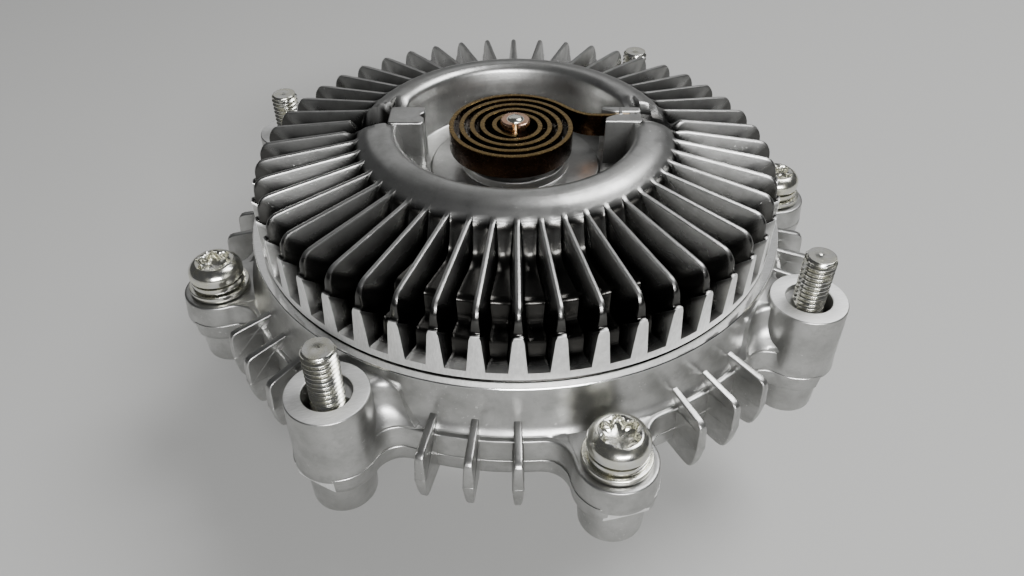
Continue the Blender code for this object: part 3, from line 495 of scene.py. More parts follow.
# %% Ring, well and underside
ring_corners = [(31.5, 17.9), (30.0, 19.1), (27.8, 19.85), (25.6, 20.0), (24.3, 19.1),
                (23.5, 16.6), (22.4, 9.2), (17.7, 9.0), (17.4, 10.0), (11.0, 10.0),
                (10.7, 11.5), (4.3, 11.5), (4.3, 5.6), (24.4, 5.6), (30.0, 6.8), (41.8, 6.8),
                (42.0, 2.4), (46.4, 2.4), (46.4, -0.6), (53.5, -0.6), (53.5, 0.25),
                (53.8, 0.4), (53.8, 2.0)]
ring_radii = [0, 0.9, 1.1, 0.9, 0.6, 1.3, 0.5, 0.25, 0.25, 0.2, 0.25, 0.1] + [0.1] * 11
ring_path = soften(ring_corners, ring_radii, 4)
lip = np.linalg.norm(ring_path - [22.4, 9.2], axis=1).argmin()
fine_share = np.linspace(0, 1, 70)
ring_path = np.vstack([along(ring_path[:lip], fine_share), ring_path[lip:]])[1:-1]


def smooth_step(value, low, high):
    """0 below low, 1 above high, and 3t^2 - 2t^3 between them."""
    t = np.clip((value - low) / (high - low), 0, 1)
    return t * t * (3 - 2 * t)


def press_troughs(points):
    """Lower the ring inside two strips that cross it at the ears.

    Beside an ear the ring falls below the ear's top. Beyond it lies a pocket: sunk far with a
    steep front on the left, a shallow valley that slopes forward on the right.
    """
    local = turn(points, -EAR_TURN)
    x, y, z = np.abs(local[..., 0]), local[..., 1], points[..., 2]
    left = local[..., 0] < 0
    past = smooth_step(x, 25.3, 25.9)
    front = np.where(left, smooth_step(y, -0.75, -0.15), smooth_step(y, -1.6, 3.0))
    front = past * front + (1 - past) * smooth_step(y, -2.4, -0.3)
    back = 1 - smooth_step(y, 6.7 - 1.3 * past, 10.5 - 3.1 * past)
    across = smooth_step(x, 20.8, 22.4) * (1 - smooth_step(x, 32.4, 34.4))
    pocket = np.where(left, 13.2, 18.2 - 0.35 * (x - 26))
    floor_z = SHOULDER + past * pocket + (1 - past) * 18.65
    lowered = np.where((z > floor_z) & (z > SHOULDER + 12), floor_z, z)
    points[..., 2] = z + (lowered - z) * front * back * across
    return points


def cover_sheet():
    """The pitch repeated round the axis: row by row (r cos a, r sin a, z)."""
    rest = np.ones((1, fin_r.shape[1]))
    r = np.vstack([fin_r, ring_path[:, :1] * rest])
    z = np.vstack([fin_z, ring_path[:, 1:] * rest]) + SHOULDER
    start = (ring_path[:, :1] > 50).astype(float)
    held = fin_angle[-1] * (1 - start) + fin_angle[0] * start
    angle = np.vstack([fin_angle, held])
    places = np.arange(FINS)[None, :, None] * PITCH
    a = (angle[:, None, :] + places).reshape(len(r), -1)
    r, z = np.tile(r, FINS), np.tile(z, FINS)
    points = np.stack([r * np.cos(a), r * np.sin(a), z], axis=-1)
    plain = points[:len(fin_r)].copy()
    pressed = press_troughs(points)
    pressed[:len(fin_r) - 8] = plain[:len(fin_r) - 8]
    return pressed, True, True


def lathe_cover(centre):
    r = np.hypot(centre[:, 0], centre[:, 1])
    z = centre[:, 2] - SHOULDER
    return (r > 53.7) & (z > 0.3)


def painted_shade_in_gaps(points):
    """How much shade is painted on a point, from 0 to 1: by how far it lies below the crest line of
    the fins, or below the ring's own curve in the pockets beyond the ears. Most of the change
    comes in the first millimetre and a half."""
    r = np.hypot(points[:, 0], points[:, 1])
    up = points[:, 2] - SHOULDER
    drop = crest_height(r) - up
    # Painted shade between the fins, by depth below the crest line.
    between = 0.85 * smooth_step(drop, 0.2, 1.2) + 0.15 * smooth_step(drop, 1.2, 6.0)
    between *= smooth_step(r, 30.5, 33.0)
    rounded = ring_path[:60][::-1]
    below = np.interp(r, rounded[:, 0], rounded[:, 1]) - up
    # Painted shade in the pockets beyond the ears, by depth below the ring's curve.
    pocket_shade = smooth_step(below, 0.2, 1.6) * (r > 25.0) * (r < 33.0)
    return np.maximum(between * (r < 53.6), pocket_shade)


lay("cover_dome", [cover_sheet()], "housing", ["front_cover"], turned=lathe_cover,
    painted_shade=painted_shade_in_gaps, finish=cast_skin)

# %% [markdown]
# ## The bolt flange
# Seen from above, each casting ends in a round plate with eight ears. The outline is made of
# arcs: round each boss, then a concave arc, then the plate itself. A profile is carried along
# that outline. Stations near the axis lie on circles and stations near the rim follow the
# outline, so the wall is round and the edge is lobed.

# %% The outline


def arc(centre, radius, first, last, count):
    """Points on a circle from one angle to another."""
    a = np.linspace(first, last, count)
    return np.stack([centre[0] + radius * np.cos(a), centre[1] + radius * np.sin(a)], axis=1)


def lobe(radius, reach, ear, fillet, half_turn):
    """One eighth of the outline, about the +X axis, from -half_turn to +half_turn.

    The concave arc's centre lies at radius + fillet from the axis and at ear + fillet from
    the boss, which the law of cosines turns into an angle.
    """
    far, near = radius + fillet, ear + fillet
    spread = math.acos((far**2 + reach**2 - near**2) / (2 * far * reach))
    hub = (far * math.cos(spread), far * math.sin(spread))
    tangent = math.atan2(hub[1], hub[0] - reach)
    round_boss = arc((reach, 0), ear, 0, tangent, 16)
    hollow = arc(hub, fillet, tangent + math.pi, spread + math.pi, 10)[1:]
    plate = arc((0, 0), radius, spread, half_turn, 7)[1:-1]
    upper = np.vstack([round_boss, hollow, plate])
    return np.vstack([upper[:0:-1] * [1, -1], upper])


def outline(radius, ear, fillet, clip=None):
    """Eight lobes, screws and studs by turns, each turned to its place."""
    parts = []
    for k in range(8):
        reach = STUD_CIRCLE if k % 2 else SCREW_CIRCLE
        part = lobe(radius, reach, ear, fillet, math.pi / 8)
        c, s = math.cos(k * math.pi / 4), math.sin(k * math.pi / 4)
        parts.append(part @ np.array([[c, s], [-s, c]]))
    points = np.vstack(parts)
    if clip:
        r = np.hypot(points[:, 0], points[:, 1])
        points = points * np.minimum(1, clip / r)[:, None]
    return points


def inset(points, amount):
    """The outline moved inwards along its own normal."""
    along_it = np.roll(points, -1, axis=0) - np.roll(points, 1, axis=0)
    normal = np.stack([along_it[:, 1], -along_it[:, 0]], axis=1)
    normal /= np.linalg.norm(normal, axis=1, keepdims=True)
    return points - normal * amount


def steady_direction(rim):
    """Unit vectors towards the outline's points, with angles that only ever rise.

    Beside a boss the outline turns back on itself. On the side that comes first the angle is
    the least of all that follow, and on the other side the greatest of all before. A hundredth
    of an even sweep is mixed in so that no two points share a direction.
    """
    a = np.unwrap(np.arctan2(rim[:, 1], rim[:, 0]))
    even_sweep = a[0] + np.linspace(0, 2 * math.pi, len(a), endpoint=False)
    least_ahead = np.minimum.accumulate(a[::-1])[::-1]
    greatest_behind = np.maximum.accumulate(a)
    comes_first = np.mod(a + math.pi / 8, math.pi / 4) < math.pi / 8
    a = 0.99 * np.where(comes_first, least_ahead, greatest_behind) + 0.01 * even_sweep
    return np.stack([np.cos(a), np.sin(a)], axis=1)


WALL_FOOT = 57.4
PLATE_RADIUS = 58.4
EAR_RADIUS = 7.35
EAR_FILLET = 4.8


def flange_sheet(rim, stations):
    """Rows of a flange: ("c", r, z) is a circle, ("o", inset, z) follows the outline, and
    ("m", share, z) lies between the foot of the wall and the outline."""
    direction = steady_direction(rim)
    rows = []
    for kind, value, z in stations:
        if kind == "c":
            flat = direction * value
        elif kind == "o":
            flat = inset(rim, value)
        else:
            flat = direction * WALL_FOOT * (1 - value) + inset(rim, 0.8) * value
        rows.append(np.hstack([flat, np.full((len(rim), 1), z)]))
    return np.stack(rows), True, True


cover_rim = outline(PLATE_RADIUS, EAR_RADIUS, EAR_FILLET)
s, b = SHOULDER, COVER_BASE
wall = soften([(55.3, s), (55.5, s - 0.2), (55.6, s - 3.0), (55.75, s - 6.4), (56.6, s - 8.9),
               (WALL_FOOT, s - 9.75)], [0, 0.05, 0.6, 1.2, 0.9, 0], 4)
cover_stations = ([("c", 51.5, b), ("c", 51.5, s - 1.4), ("c", 52.6, s)]
                  + [("c", r, z) for r, z in wall]
                  + [("m", 0.35, s - 10.0), ("m", 1.0, s - 10.0), ("o", 0.45, s - 10.0),
                     ("o", 0.2, s - 10.06), ("o", 0.06, s - 10.2), ("o", 0.0, s - 10.5),
                     ("o", -0.22, s - 12.8), ("o", -0.45, b + 0.2), ("o", -0.38, b),
                     ("o", 0.8, b)])


def lathe_flange(centre):
    r = np.hypot(centre[:, 0], centre[:, 1])
    up = centre[:, 2] - SHOULDER
    return (r < 55.8) & (up > -0.5)


lay("cover_flange", [flange_sheet(cover_rim, cover_stations)], "housing", ["front_cover"],
    turned=lathe_flange, finish=cast_skin)

# %% [markdown]
# ## Stud bosses and their webs
# The four stud bosses are tall posts with a clearance hole, and a web ties each post to the
# wall behind it. The post is turned from a profile. The web is a section carried out from the
# wall: an arch whose half width flares where it meets the wall and the flange, like poured
# metal does.

# %% Posts and webs
WALL_FILLET = 4.4
FLOOR_FILLET = 6.4
WEB_HALF = 4.4


def post(angle):
    top = SHOULDER - 0.6
    place = (STUD_CIRCLE * math.cos(angle), STUD_CIRCLE * math.sin(angle))
    profile = soften([(4.35, FLANGE_TOP - 0.5), (4.35, top - 0.15), (4.5, top), (7.1, top),
                      (7.32, top - 0.2), (7.62, COVER_BASE + 0.4), (4.5, COVER_BASE + 0.4)],
                     [0, 0.05, 0.05, 0.05, 0.1, 0, 0], 3)
    bottom = [(0.0, FLANGE_TOP - 0.5)]
    return turned_sheet(np.vstack([bottom, profile, [(0.0, COVER_BASE + 0.4)]]), 64, place, False)


def web(angle):
    """Section by section from the wall outwards, as half width over height.

    The flange swoops up to the web in one quarter circle, and the web meets the wall in
    another. The outline of the flange cuts both off with an upright side.
    """
    top = SHOULDER - 1.7
    level = np.array([-14.0, -10.3, -9.8, -9.4, -8.8, -8.0, -7.0, -6.0, -5.0, -4.0, -3.0, -2.3,
                      -1.85, -1.7])
    z = SHOULDER + level[None, :]
    face = np.interp(z, wall[::-1, 1], wall[::-1, 0])
    t = np.linspace(0, 1, 30)[:, None]
    r = np.vstack([face - 2.0, face - 0.1 + (62.4 - face) * t**2])
    z = z + 0 * r
    gap = np.clip(face + WALL_FILLET - r, 0, WALL_FILLET)
    near_wall = WALL_FILLET - np.sqrt(np.maximum(WALL_FILLET**2 - gap**2, 0))
    lift = np.clip(FLOOR_FILLET - (z - FLANGE_TOP), 0, FLOOR_FILLET)
    near_floor = FLOOR_FILLET - np.sqrt(np.maximum(FLOOR_FILLET**2 - lift**2, 0))
    width = WEB_HALF + near_wall * smooth_step(top - z, -0.4, 2.0) + near_floor
    width[:, -3:] -= np.array([0.05, 0.35, 0.8])
    edge = lobe(PLATE_RADIUS, STUD_CIRCLE, EAR_RADIUS, EAR_FILLET, math.pi / 8)
    edge = edge[len(edge) // 2:]
    limit = np.interp(r, edge[::-1, 0], edge[::-1, 1]) + 0.02
    width = np.minimum(width, limit - 0.5 * (z < FLANGE_TOP - 0.1))
    side = np.stack([r, width, z], axis=-1)
    other = side[:, ::-1] * [1, -1, 1]
    ring = np.concatenate([side, other], axis=1)
    ends = ring.mean(axis=1, keepdims=True) + 0 * ring
    grid = np.concatenate([ends[:1], ring, ends[-1:]])
    return turn(grid, angle), False, True


stud_angles = [math.pi / 4 + k * math.pi / 2 for k in range(4)]


def lathe_post(centre):
    return centre[:, 2] > SHOULDER - 0.68


lay("stud_bosses", [post(a) for a in stud_angles] + [web(a) for a in stud_angles], "housing",
    ["front_cover"], turned=lathe_post, finish=cast_skin)

# %% [markdown]
# ## Ribs on both castings
# Between two bosses stand three thin ribs. Their halves belong to the two castings, so the
# dark parting line crosses each of them. A rib is a flat plate with round edges: an outline
# in the radial plane, and a thickness that thins with the draft of the mould.

# %% Plates with round edges


def plate(edge, thickness, angle, ease=0.35):
    """A plate in the plane of radius and height. From one cheek to the other the outline is
    drawn in by e (1 - cos b) as it climbs the quarter circle that rounds its edge."""
    edge = np.asarray(edge, float)
    middle = edge.mean(axis=0)
    away = middle - edge
    away /= np.linalg.norm(away, axis=1, keepdims=True)
    half = thickness(edge[:, 0], edge[:, 1])[:, None]
    beta = np.radians([0, 30, 60, 90])
    cheek = edge + away * (ease + 0.08)
    rows = [np.column_stack([middle + 0 * edge, -half]), np.column_stack([cheek, -half])]
    for b, sign in [(v, -1) for v in beta] + [(v, 1) for v in beta[::-1]]:
        drawn = edge + away * ease * (1 - math.sin(b))
        rows.append(np.column_stack([drawn, sign * (half - ease * (1 - math.cos(b)))]))
    rows += [np.column_stack([cheek, half]), np.column_stack([middle + 0 * edge, half])]
    grid = np.stack(rows)
    grid = np.stack([grid[..., 0], grid[..., 2], grid[..., 1]], axis=-1)
    return turn(grid, angle), False, True


rib_angles = [math.pi / 8 + k * math.pi / 4 + step * PITCH for k in range(8) for step in (-1, 0, 1)]
upper_rib = soften([(57.5, b), (65.0, b), (64.65, s - 9.9), (63.8, s - 8.9), (56.2, s - 7.3),
                    (55.0, s - 7.0), (55.0, s - 12.0), (57.5, b)],
                   [0, 0.1, 0.9, 0.9, 0.6, 0.1, 0.1, 0], 4)[:-1]
f = REAR_FACE
lower_rib = soften([(57.0, f), (65.0, f), (64.6, f - 4.0), (63.6, f - 6.6), (61.0, f - 6.6),
                    (54.5, f - 5.6), (54.5, f - 1.5), (57.0, f)],
                   [0, 0.1, 1.5, 1.2, 1.2, 0.1, 0.1, 0], 4)[:-1]


def upper_half(r, z):
    return 0.72 + 0.042 * (SHOULDER - 8.0 - z)


def lower_half(r, z):
    return 1.05 - 0.062 * (REAR_FACE - z)


lay("cover_ribs", [plate(upper_rib, upper_half, a) for a in rib_angles], "housing",
    ["front_cover"], finish=cast_skin)
lay("rear_ribs", [plate(lower_rib, lower_half, a) for a in rib_angles], "housing",
    ["rear_housing"], finish=cast_skin)

# %% [markdown]
# ## The two ears
# Two ears stand in the well. The right one is slit to hold the tail of the spiral, and the
# left one is a spare, so the same casting can take a spiral hooked on either side. Each is an
# outline seen from above, carried upwards with a round top edge.

# %% Ears


def block(edge, bottom, top, ease=0.35):
    """An upright block: its outline carried up, then drawn in along a quarter circle."""
    edge = np.asarray(edge, float)
    beta = np.radians([0, 30, 60, 90])
    rows = [np.column_stack([edge.mean(axis=0) + 0 * edge, np.full(len(edge), bottom)]),
            np.column_stack([edge, np.full(len(edge), bottom)])]
    for value in beta:
        drawn = inset(edge, ease * (1 - math.cos(value)))
        height = top - ease * (1 - math.sin(value))
        rows.append(np.column_stack([drawn, np.full(len(edge), height)]))
    rows.append(np.column_stack([inset(edge, ease + 0.06), np.full(len(edge), top)]))
    rows.append(np.column_stack([edge.mean(axis=0) + 0 * edge, np.full(len(edge), top)]))
    return turn(np.stack(rows), EAR_TURN), False, True


def even(corners, radii, steps=4, spacing=0.45):
    """An outline with eased corners and points at even spacing, ready to be offset."""
    path = soften(list(corners) + [corners[0]], list(radii) + [0], steps)
    count = int(np.linalg.norm(np.diff(path, axis=0), axis=1).sum() / spacing)
    return along(path, np.linspace(0, 1, count, endpoint=False))


def flash_line():
    """The thin line of flash where two mould parts met: a tube whose radius swells and thins,
    0.13 + 0.06 sin 57t + 0.03 sin 145t, laid across the right end of the ear."""
    t = np.linspace(0, 1, 60)[:, None]
    a = np.linspace(0, 2 * math.pi, 10, endpoint=False)[None, :]
    radius = 0.13 + 0.06 * np.sin(57 * t) + 0.03 * np.sin(145 * t)
    x = 25.75 + 0.25 * np.sin(8 * t) + radius * np.cos(a)
    y = -0.6 + 7.8 * t + 0 * a
    rise = SHOULDER + 18.75 - 1.1 * np.exp(-((t - 0.42) / 0.3)**2)
    grid = turn(np.stack([x, y, rise + radius * np.sin(a)], axis=-1), EAR_TURN)
    ends = grid.mean(axis=1, keepdims=True) + 0 * grid
    return np.concatenate([ends[:1], grid, ends[-1:]]), False, True


ear_low, ear_top = SHOULDER + 8.6, SHOULDER + 19.0
left_ear = even([(-26.0, 3.0), (-26.0, -0.1), (-18.7, -0.1), (-18.7, 2.4), (-19.5, 2.9),
                 (-19.5, 3.9), (-18.7, 4.4), (-18.7, 6.9), (-26.0, 6.9)],
                [0, 0.8, 0.6, 0.2, 0.4, 0.4, 0.2, 0.6, 0.8])
right_front = even([(18.4, 0.8), (26.0, 0.6), (26.0, 3.85), (20.8, 3.85), (18.4, 2.3)],
                   [0.7, 0, 0, 0.9, 0.6])
right_back = even([(18.0, 6.0), (20.8, 4.95), (26.0, 4.95), (26.0, 6.9), (18.0, 6.9)],
                  [0.2, 0.9, 0, 0, 0.35])
bridge = even([(24.9, 3.0), (26.0, 3.0), (26.0, 6.0), (24.9, 6.0)], [0, 0, 0, 0])
stake = even([(21.4, 3.5), (22.1, 3.4), (22.2, 6.5), (21.6, 6.5)], [0.1, 0.1, 0.1, 0.1], 3, 0.2)
ear_blocks = [block(edge, ear_low, ear_top) for edge in (left_ear, right_front, right_back)]
ear_blocks += [block(bridge, ear_low, ear_top - 0.5),
               block(stake, ear_top - 0.6, ear_top + 0.14, 0.2)]
lay("cover_ears", ear_blocks + [flash_line()], "housing", ["front_cover"], finish=cast_skin)

# %% [markdown]
# ## The rear housing
# The rear casting carries the same eight ears a little wider, and a lathe has trimmed their
# tips to one diameter, which leaves a bright facet on each. Behind them the casting is a dish
# with radial cooling ribs round a bearing hub.

# %% Rear casting
rear_rim = outline(58.9, 7.85, 4.6, clip=70.5)
rear_stations = [("c", 20.3, f - 4.0), ("c", 51.5, f - 4.4), ("c", 51.5, f), ("c", 57.2, f),
                 ("o", 0.5, f), ("o", 0.04, f), ("o", 0.0, f - 0.05), ("o", 0.25, f - 2.6),
                 ("o", 0.35, f - 3.5), ("o", 0.5, f - 3.75), ("o", 0.85, f - 3.9),
                 ("o", 1.3, f - 3.95), ("c", 56.3, f - 4.2), ("c", 55.3, f - 5.2),
                 ("c", 54.6, f - 7.0), ("c", 53.4, f - 7.9), ("c", 51.5, f - 8.2),
                 ("c", 30.0, f - 8.2), ("c", 27.5, f - 8.6), ("c", 26.0, f - 10.0),
                 ("c", 24.9, f - 16.4), ("c", 24.4, f - 17.1), ("c", 23.6, f - 17.3),
                 ("c", 21.0, f - 17.3), ("c", 20.4, f - 17.0), ("c", 19.6, f - 16.9),
                 ("c", 19.5, f - 16.5), ("c", 20.3, f - 16.4)]


def lathe_rear(centre):
    r = np.hypot(centre[:, 0], centre[:, 1])
    z = centre[:, 2]
    a = np.arctan2(centre[:, 1], centre[:, 0])
    aside = r * np.sin(np.abs(a - np.round(a / (math.pi / 4)) * math.pi / 4))
    facet = (r > 69.6) & (aside < 3.8) & (z < REAR_FACE - 0.05) & (z > REAR_FACE - 3.6)
    return facet | ((r < 23.8) & (z < REAR_FACE - 17.1))


def boss_foot(angle, reach):
    place = (reach * math.cos(angle), reach * math.sin(angle))
    low_z = COVER_BASE - 10.75
    profile = soften([(0.0, low_z), (5.9, low_z), (6.15, REAR_FACE - 3.0), (0, REAR_FACE - 3.0)],
                     [0, 0.45, 0, 0], 5)
    return turned_sheet(profile, 48, place, False)


cool_rib = soften([(25.2, f - 7.6), (25.2, f - 11.2), (29.0, f - 12.8), (50.3, f - 11.2),
                   (53.2, f - 7.4), (25.2, f - 7.6)], [0, 0.5, 2.0, 2.0, 0.5, 0], 4)[:-1]


def cool_half(r, z):
    return 1.25 - 0.06 * (REAR_FACE - 4.4 - z)


feet = [boss_foot(k * math.pi / 4, STUD_CIRCLE if k % 2 else SCREW_CIRCLE) for k in range(8)]
cooling = [plate(cool_rib, cool_half, (k + 0.25) * math.pi / 12, 0.4) for k in range(24)]
lay("rear_casting", [flange_sheet(rear_rim, rear_stations)] + feet + cooling, "housing",
    ["rear_housing"], turned=lathe_rear, finish=cast_skin)

# %% [markdown]
# ## Zinc-plated steel
# The screws, washers and studs are bright zinc plate over steel: a cool mirror with a faint
# yellow-green cast in places, and small dull spots. Noise moves the colour between the two
# tints and dulls the gloss here and there.

# %% The fasteners' finish


def plated(name, cool, warm, gloss):
    shop = Shop(name)
    patch = shop.noise(500.0, 4.0)
    spots = shop.noise(3500.0, 2.0, 0.6)
    tint = shop.mix(shop.spread(patch, 0.35, 0.65), cool, warm)
    tint = shop.mix(shop.spread(spots, 0.64, 0.76, 0.0, 0.5), tint, (0.25, 0.24, 0.22))
    shop.bump(spots, 0.012, 0.5)
    return shop.paint(tint, shop.spread(patch, 0.3, 0.7, gloss, gloss + 0.16))


zinc = plated("bright_zinc_plate", (0.70, 0.70, 0.68), (0.70, 0.69, 0.58), 0.14)
print("zinc ready")

# %% [markdown]
# ## Studs
# A thread is a helix: as the angle goes once round, the groove climbs by one pitch. So the
# radius is a function of angle and height together, and a fine grid is enough to show it. The
# threads fade out at the chamfered tip, where a small dimple from the lathe centre stays.

# %% Threads


def ridge(phase):
    """0 at the crest and 1 at the root of a 60 degree thread with flats at both ends."""
    saw = np.abs(2 * (phase - np.floor(phase)) - 1)
    return np.clip((saw - 0.12) / 0.70, 0, 1)


def stud_sheet(angle):
    """Rows up a stud: shank, knurled collar, thread r = 3 - 0.56 ridge(z / p - a / 2 pi), tip.

    The rows of the thread climb with the helix, z = z0 + p (i / 12 + a / 2 pi), so each
    crest runs along one row, and they stop at the flat ends of the thread.
    """
    low_z, top = low("fan_stud_1")[2], STUD_TOP
    a = np.linspace(0, 2 * math.pi, 65)[None, :]
    start, stop = SHOULDER - 6.2, top - 0.9
    climb = np.arange(int(12 * (stop - start + 1)) + 2)[:, None]
    z = np.clip(start - 1 + climb / 12 + a / (2 * math.pi), start, stop)
    thread = 3.0 - 0.56 * smooth_step(z, start, start + 0.8) * ridge(z - a / (2 * math.pi))
    tip_z = top - np.array([[0.75], [0.6], [0.45], [0.3], [0.15], [0.04], [0.0]])
    cap = np.array([[3.0], [2.95], [2.87], [2.78], [2.69], [2.62], [2.56]])
    tip = np.minimum(3.0 - 0.56 * ridge(tip_z - a / (2 * math.pi)), cap)
    flat_r = np.array([[2.48], [1.6], [0.5], [0.38], [0.2], [0.0]])
    flat_z = top + np.array([[0.0], [0.0], [0.0], [-0.03], [-0.08], [-0.1]])
    knurl = 4.05 + 0.12 * np.cos(20 * a)
    collar_z = np.array([[FLANGE_TOP - 0.3], [SHOULDER - 7.9], [SHOULDER - 7.6]])
    collar = np.vstack([knurl, knurl, knurl - 0.35])
    foot = np.array([[low_z], [low_z]])
    r = np.vstack([0 * a, 0 * a + 2.6, collar, 0 * a + 3.0, thread, tip, flat_r + 0 * a])
    flat = np.vstack([foot, collar_z, [[SHOULDER - 7.5]]]) + 0 * a
    z = np.vstack([flat, z, tip_z + 0 * a, flat_z + 0 * a])
    x = STUD_CIRCLE * math.cos(angle) + r * np.cos(a)
    y = STUD_CIRCLE * math.sin(angle) + r * np.sin(a)
    return np.stack([x, y, z], axis=-1), False, False


for k, angle in enumerate(stud_angles, start=1):
    lay(f"stud_{k}", [stud_sheet(angle)], "housing", [f"fan_stud_{k}"], 50,
        finish=zinc)

# %% [markdown]
# ## Screws and washers
# Each cover screw has a low round head with a six-lobed socket, and sits on a split spring
# washer and a flat washer. The socket is a ring of the turned profile whose radius waves six
# times round. The spring washer is a square section carried round almost a full turn while it
# climbs a little, so its two cut ends stand apart.

# %% Screws, spring washers, flat washers
SEAT = low("flat_washer_1")[2]
SHANK_END = low("cover_screw_1")[2]
HEAD_TOP = high("cover_screw_1")[2]
HEAD_HEIGHT = 3.4


def head_sheet(place, twist):
    """(r + w cos 6a, z) round the screw's axis; w is zero outside the socket."""
    h = HEAD_TOP - HEAD_HEIGHT
    outer = soften([(0, h + 0.02), (5.2, h), (5.4, h + 0.25), (5.4, h + 1.6), (4.8, h + 2.8),
                    (3.7, h + 3.4)], [0, 0.1, 0.1, 0.5, 0.9, 0], 6)
    socket = np.array([[3.45, h + 3.4, 0.20], [3.2, h + 3.25, 0.42], [3.0, h + 2.9, 0.52],
                       [2.85, h + 1.6, 0.52], [2.5, h + 1.35, 0.4], [1.6, h + 1.2, 0.0],
                       [0.0, h + 1.0, 0.0]])
    rows = np.vstack([np.column_stack([outer, 0 * outer[:, 0]]), socket])
    a = np.arange(72) * 2 * math.pi / 72
    r = rows[:, :1] + rows[:, 2:] * np.cos(6 * (a - twist))
    x, y = place[0] + r * np.cos(a), place[1] + r * np.sin(a)
    return np.stack([x, y, rows[:, 1:2] + 0 * a], axis=-1), False, True


def split_ring(place, bottom, gap_at):
    """A section from 3.35 to 5.35 in radius and 1.2 high, carried from one side of the gap to
    the other while it rises by nearly 0.22."""
    section = soften([(3.35, 0), (5.35, 0), (5.35, 1.2), (3.35, 1.2), (3.35, 0)],
                     [0, 0.15, 0.15, 0.15, 0], 3)[:-1]
    a = gap_at + np.linspace(math.radians(5), math.radians(355), 60)[:, None]
    rise = 0.22 * (a - a[0]) / (2 * math.pi)
    r, z = section[:, 0] + 0 * a, bottom + section[:, 1] + rise
    grid = np.stack([place[0] + r * np.cos(a), place[1] + r * np.sin(a), z], axis=-1)
    ends = grid.mean(axis=1, keepdims=True) + 0 * grid
    return np.concatenate([ends[:1], grid, ends[-1:]]), False, True


def shank(place):
    profile = [(0, SHANK_END), (2.9, SHANK_END), (2.9, HEAD_TOP - 3.2), (0, HEAD_TOP - 3.2)]
    return turned_sheet(profile, 32, place, False)


for k in range(4):
    angle = k * math.pi / 2
    place = (SCREW_CIRCLE * math.cos(angle), SCREW_CIRCLE * math.sin(angle))
    rim = soften([(3.3, SEAT), (6.1, SEAT), (6.1, SEAT + 1.2), (3.3, SEAT + 1.2), (3.3, SEAT)],
                 [0, 0.2, 0.3, 0.1, 0], 4)[:-1]
    stack = (("screw", "cover_screw", [head_sheet(place, 0.3 + 0.7 * k), shank(place)]),
             ("spring", "spring_washer", [split_ring(place, SEAT + 1.5, 3.6 + 1.3 * k)]),
             ("washer", "flat_washer", [turned_sheet(rim, 64, place)]))
    for name, node, sheets in stack:
        lay(f"{name}_{k + 1}", sheets, "housing", [f"{node}_{k + 1}"], 32,
            finish=zinc)

# %% [markdown]
# ## The bimetal spiral
# A strip of two metals is wound flat and on edge. Its rolled faces are dark brown from heat,
# and its sheared edges show golden. The path is a spiral r = r0 + p a / 2 pi that ends in a
# bend and a straight tail in the right ear. Its innermost half turn, which bends in the real
# clutch when the valve turns, is a piece of its own that follows neither the valve nor the housing.

# %% The strip's path
STRIP_TOP = high("bimetal_coil")[2]
STRIP_WIDTH = STRIP_TOP - low("bimetal_coil")[2]


def spiral_points(first, last, count):
    """Centre line between two swept angles, in degrees; it runs clockwise from the front left."""
    swept = np.radians(np.linspace(first, last, count))
    a = math.radians(225) - swept
    r = 3.95 + 2.1 * swept / (2 * math.pi)
    shift = -0.4 * np.minimum(1, swept / (2 * math.pi))
    return np.stack([shift + r * np.cos(a), r * np.sin(a)], axis=1)


def bend(first, corner, last, count):
    """The quadratic curve through two points that heads for the corner between them."""
    t = np.linspace(0, 1, count)[:, None]
    first, corner, last = map(np.asarray, (first, corner, last))
    return (1 - t)**2 * first + 2 * t * (1 - t) * corner + t**2 * last


def strip(path, colour_name, body):
    """A rectangle with eased corners carried along the path, edge up."""
    heading = np.gradient(path, axis=0)
    heading /= np.linalg.norm(heading, axis=1, keepdims=True)
    normal = np.stack([-heading[:, 1], heading[:, 0]], axis=1)
    half, low_z, top = 0.5, STRIP_TOP - STRIP_WIDTH, STRIP_TOP
    section = soften([(0, low_z), (half, low_z), (half, top), (-half, top), (-half, low_z),
                      (0, low_z)], [0, 0.12, 0.16, 0.16, 0.12, 0], 4)[:-1]
    flat = path[:, None] + normal[:, None] * section[None, :, :1]
    grid = np.concatenate([flat, section[None, :, 1:] + 0 * flat[..., :1]], axis=-1)
    ends = grid.mean(axis=1, keepdims=True) + 0 * grid
    grid = turn(np.concatenate([ends[:1], grid, ends[-1:]]), EAR_TURN)
    return lay(colour_name, [(grid, False, True)], body, ["bimetal_coil"], 30)


start = spiral_points(0, 1, 2)[0]
hook = np.array([(0.0, -0.1), (0.0, -1.2), (0.0, -2.4), (0.0, -3.4)])
entry = bend((0.0, -3.4), (0.0, start[1] - 2.4), start, 10)
inner = np.vstack([entry[:-1], spiral_points(0, 135, 24)])
end = spiral_points(1624, 1625, 2)[-1]
slot_y = 4.4
corner = (end[0] + (end[1] - slot_y) / math.tan(math.radians(50)), slot_y)
tail = bend(end, corner, (corner[0] + 3.0, slot_y), 14)
outer = np.vstack([spiral_points(135, 1625, 290), tail[1:],
                   np.column_stack([np.linspace(corner[0] + 3.6, 24.6, 10),
                                    np.full(10, slot_y)])])
strip_pieces = [strip(hook, "spiral_hook", "valve"), strip(inner, "spiral_inner", None),
                strip(outer, "spiral_outer", "housing")]
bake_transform(strip_pieces[1])
print(f"strip {STRIP_WIDTH:.1f} mm wide, {len(inner) + len(outer)} stations")

# %% [markdown]
# The strip's finish is split by height: its top edge is worn golden, and its faces darken
# from bronze to brown, with soft clouds of heat tint.

# %% Bronze


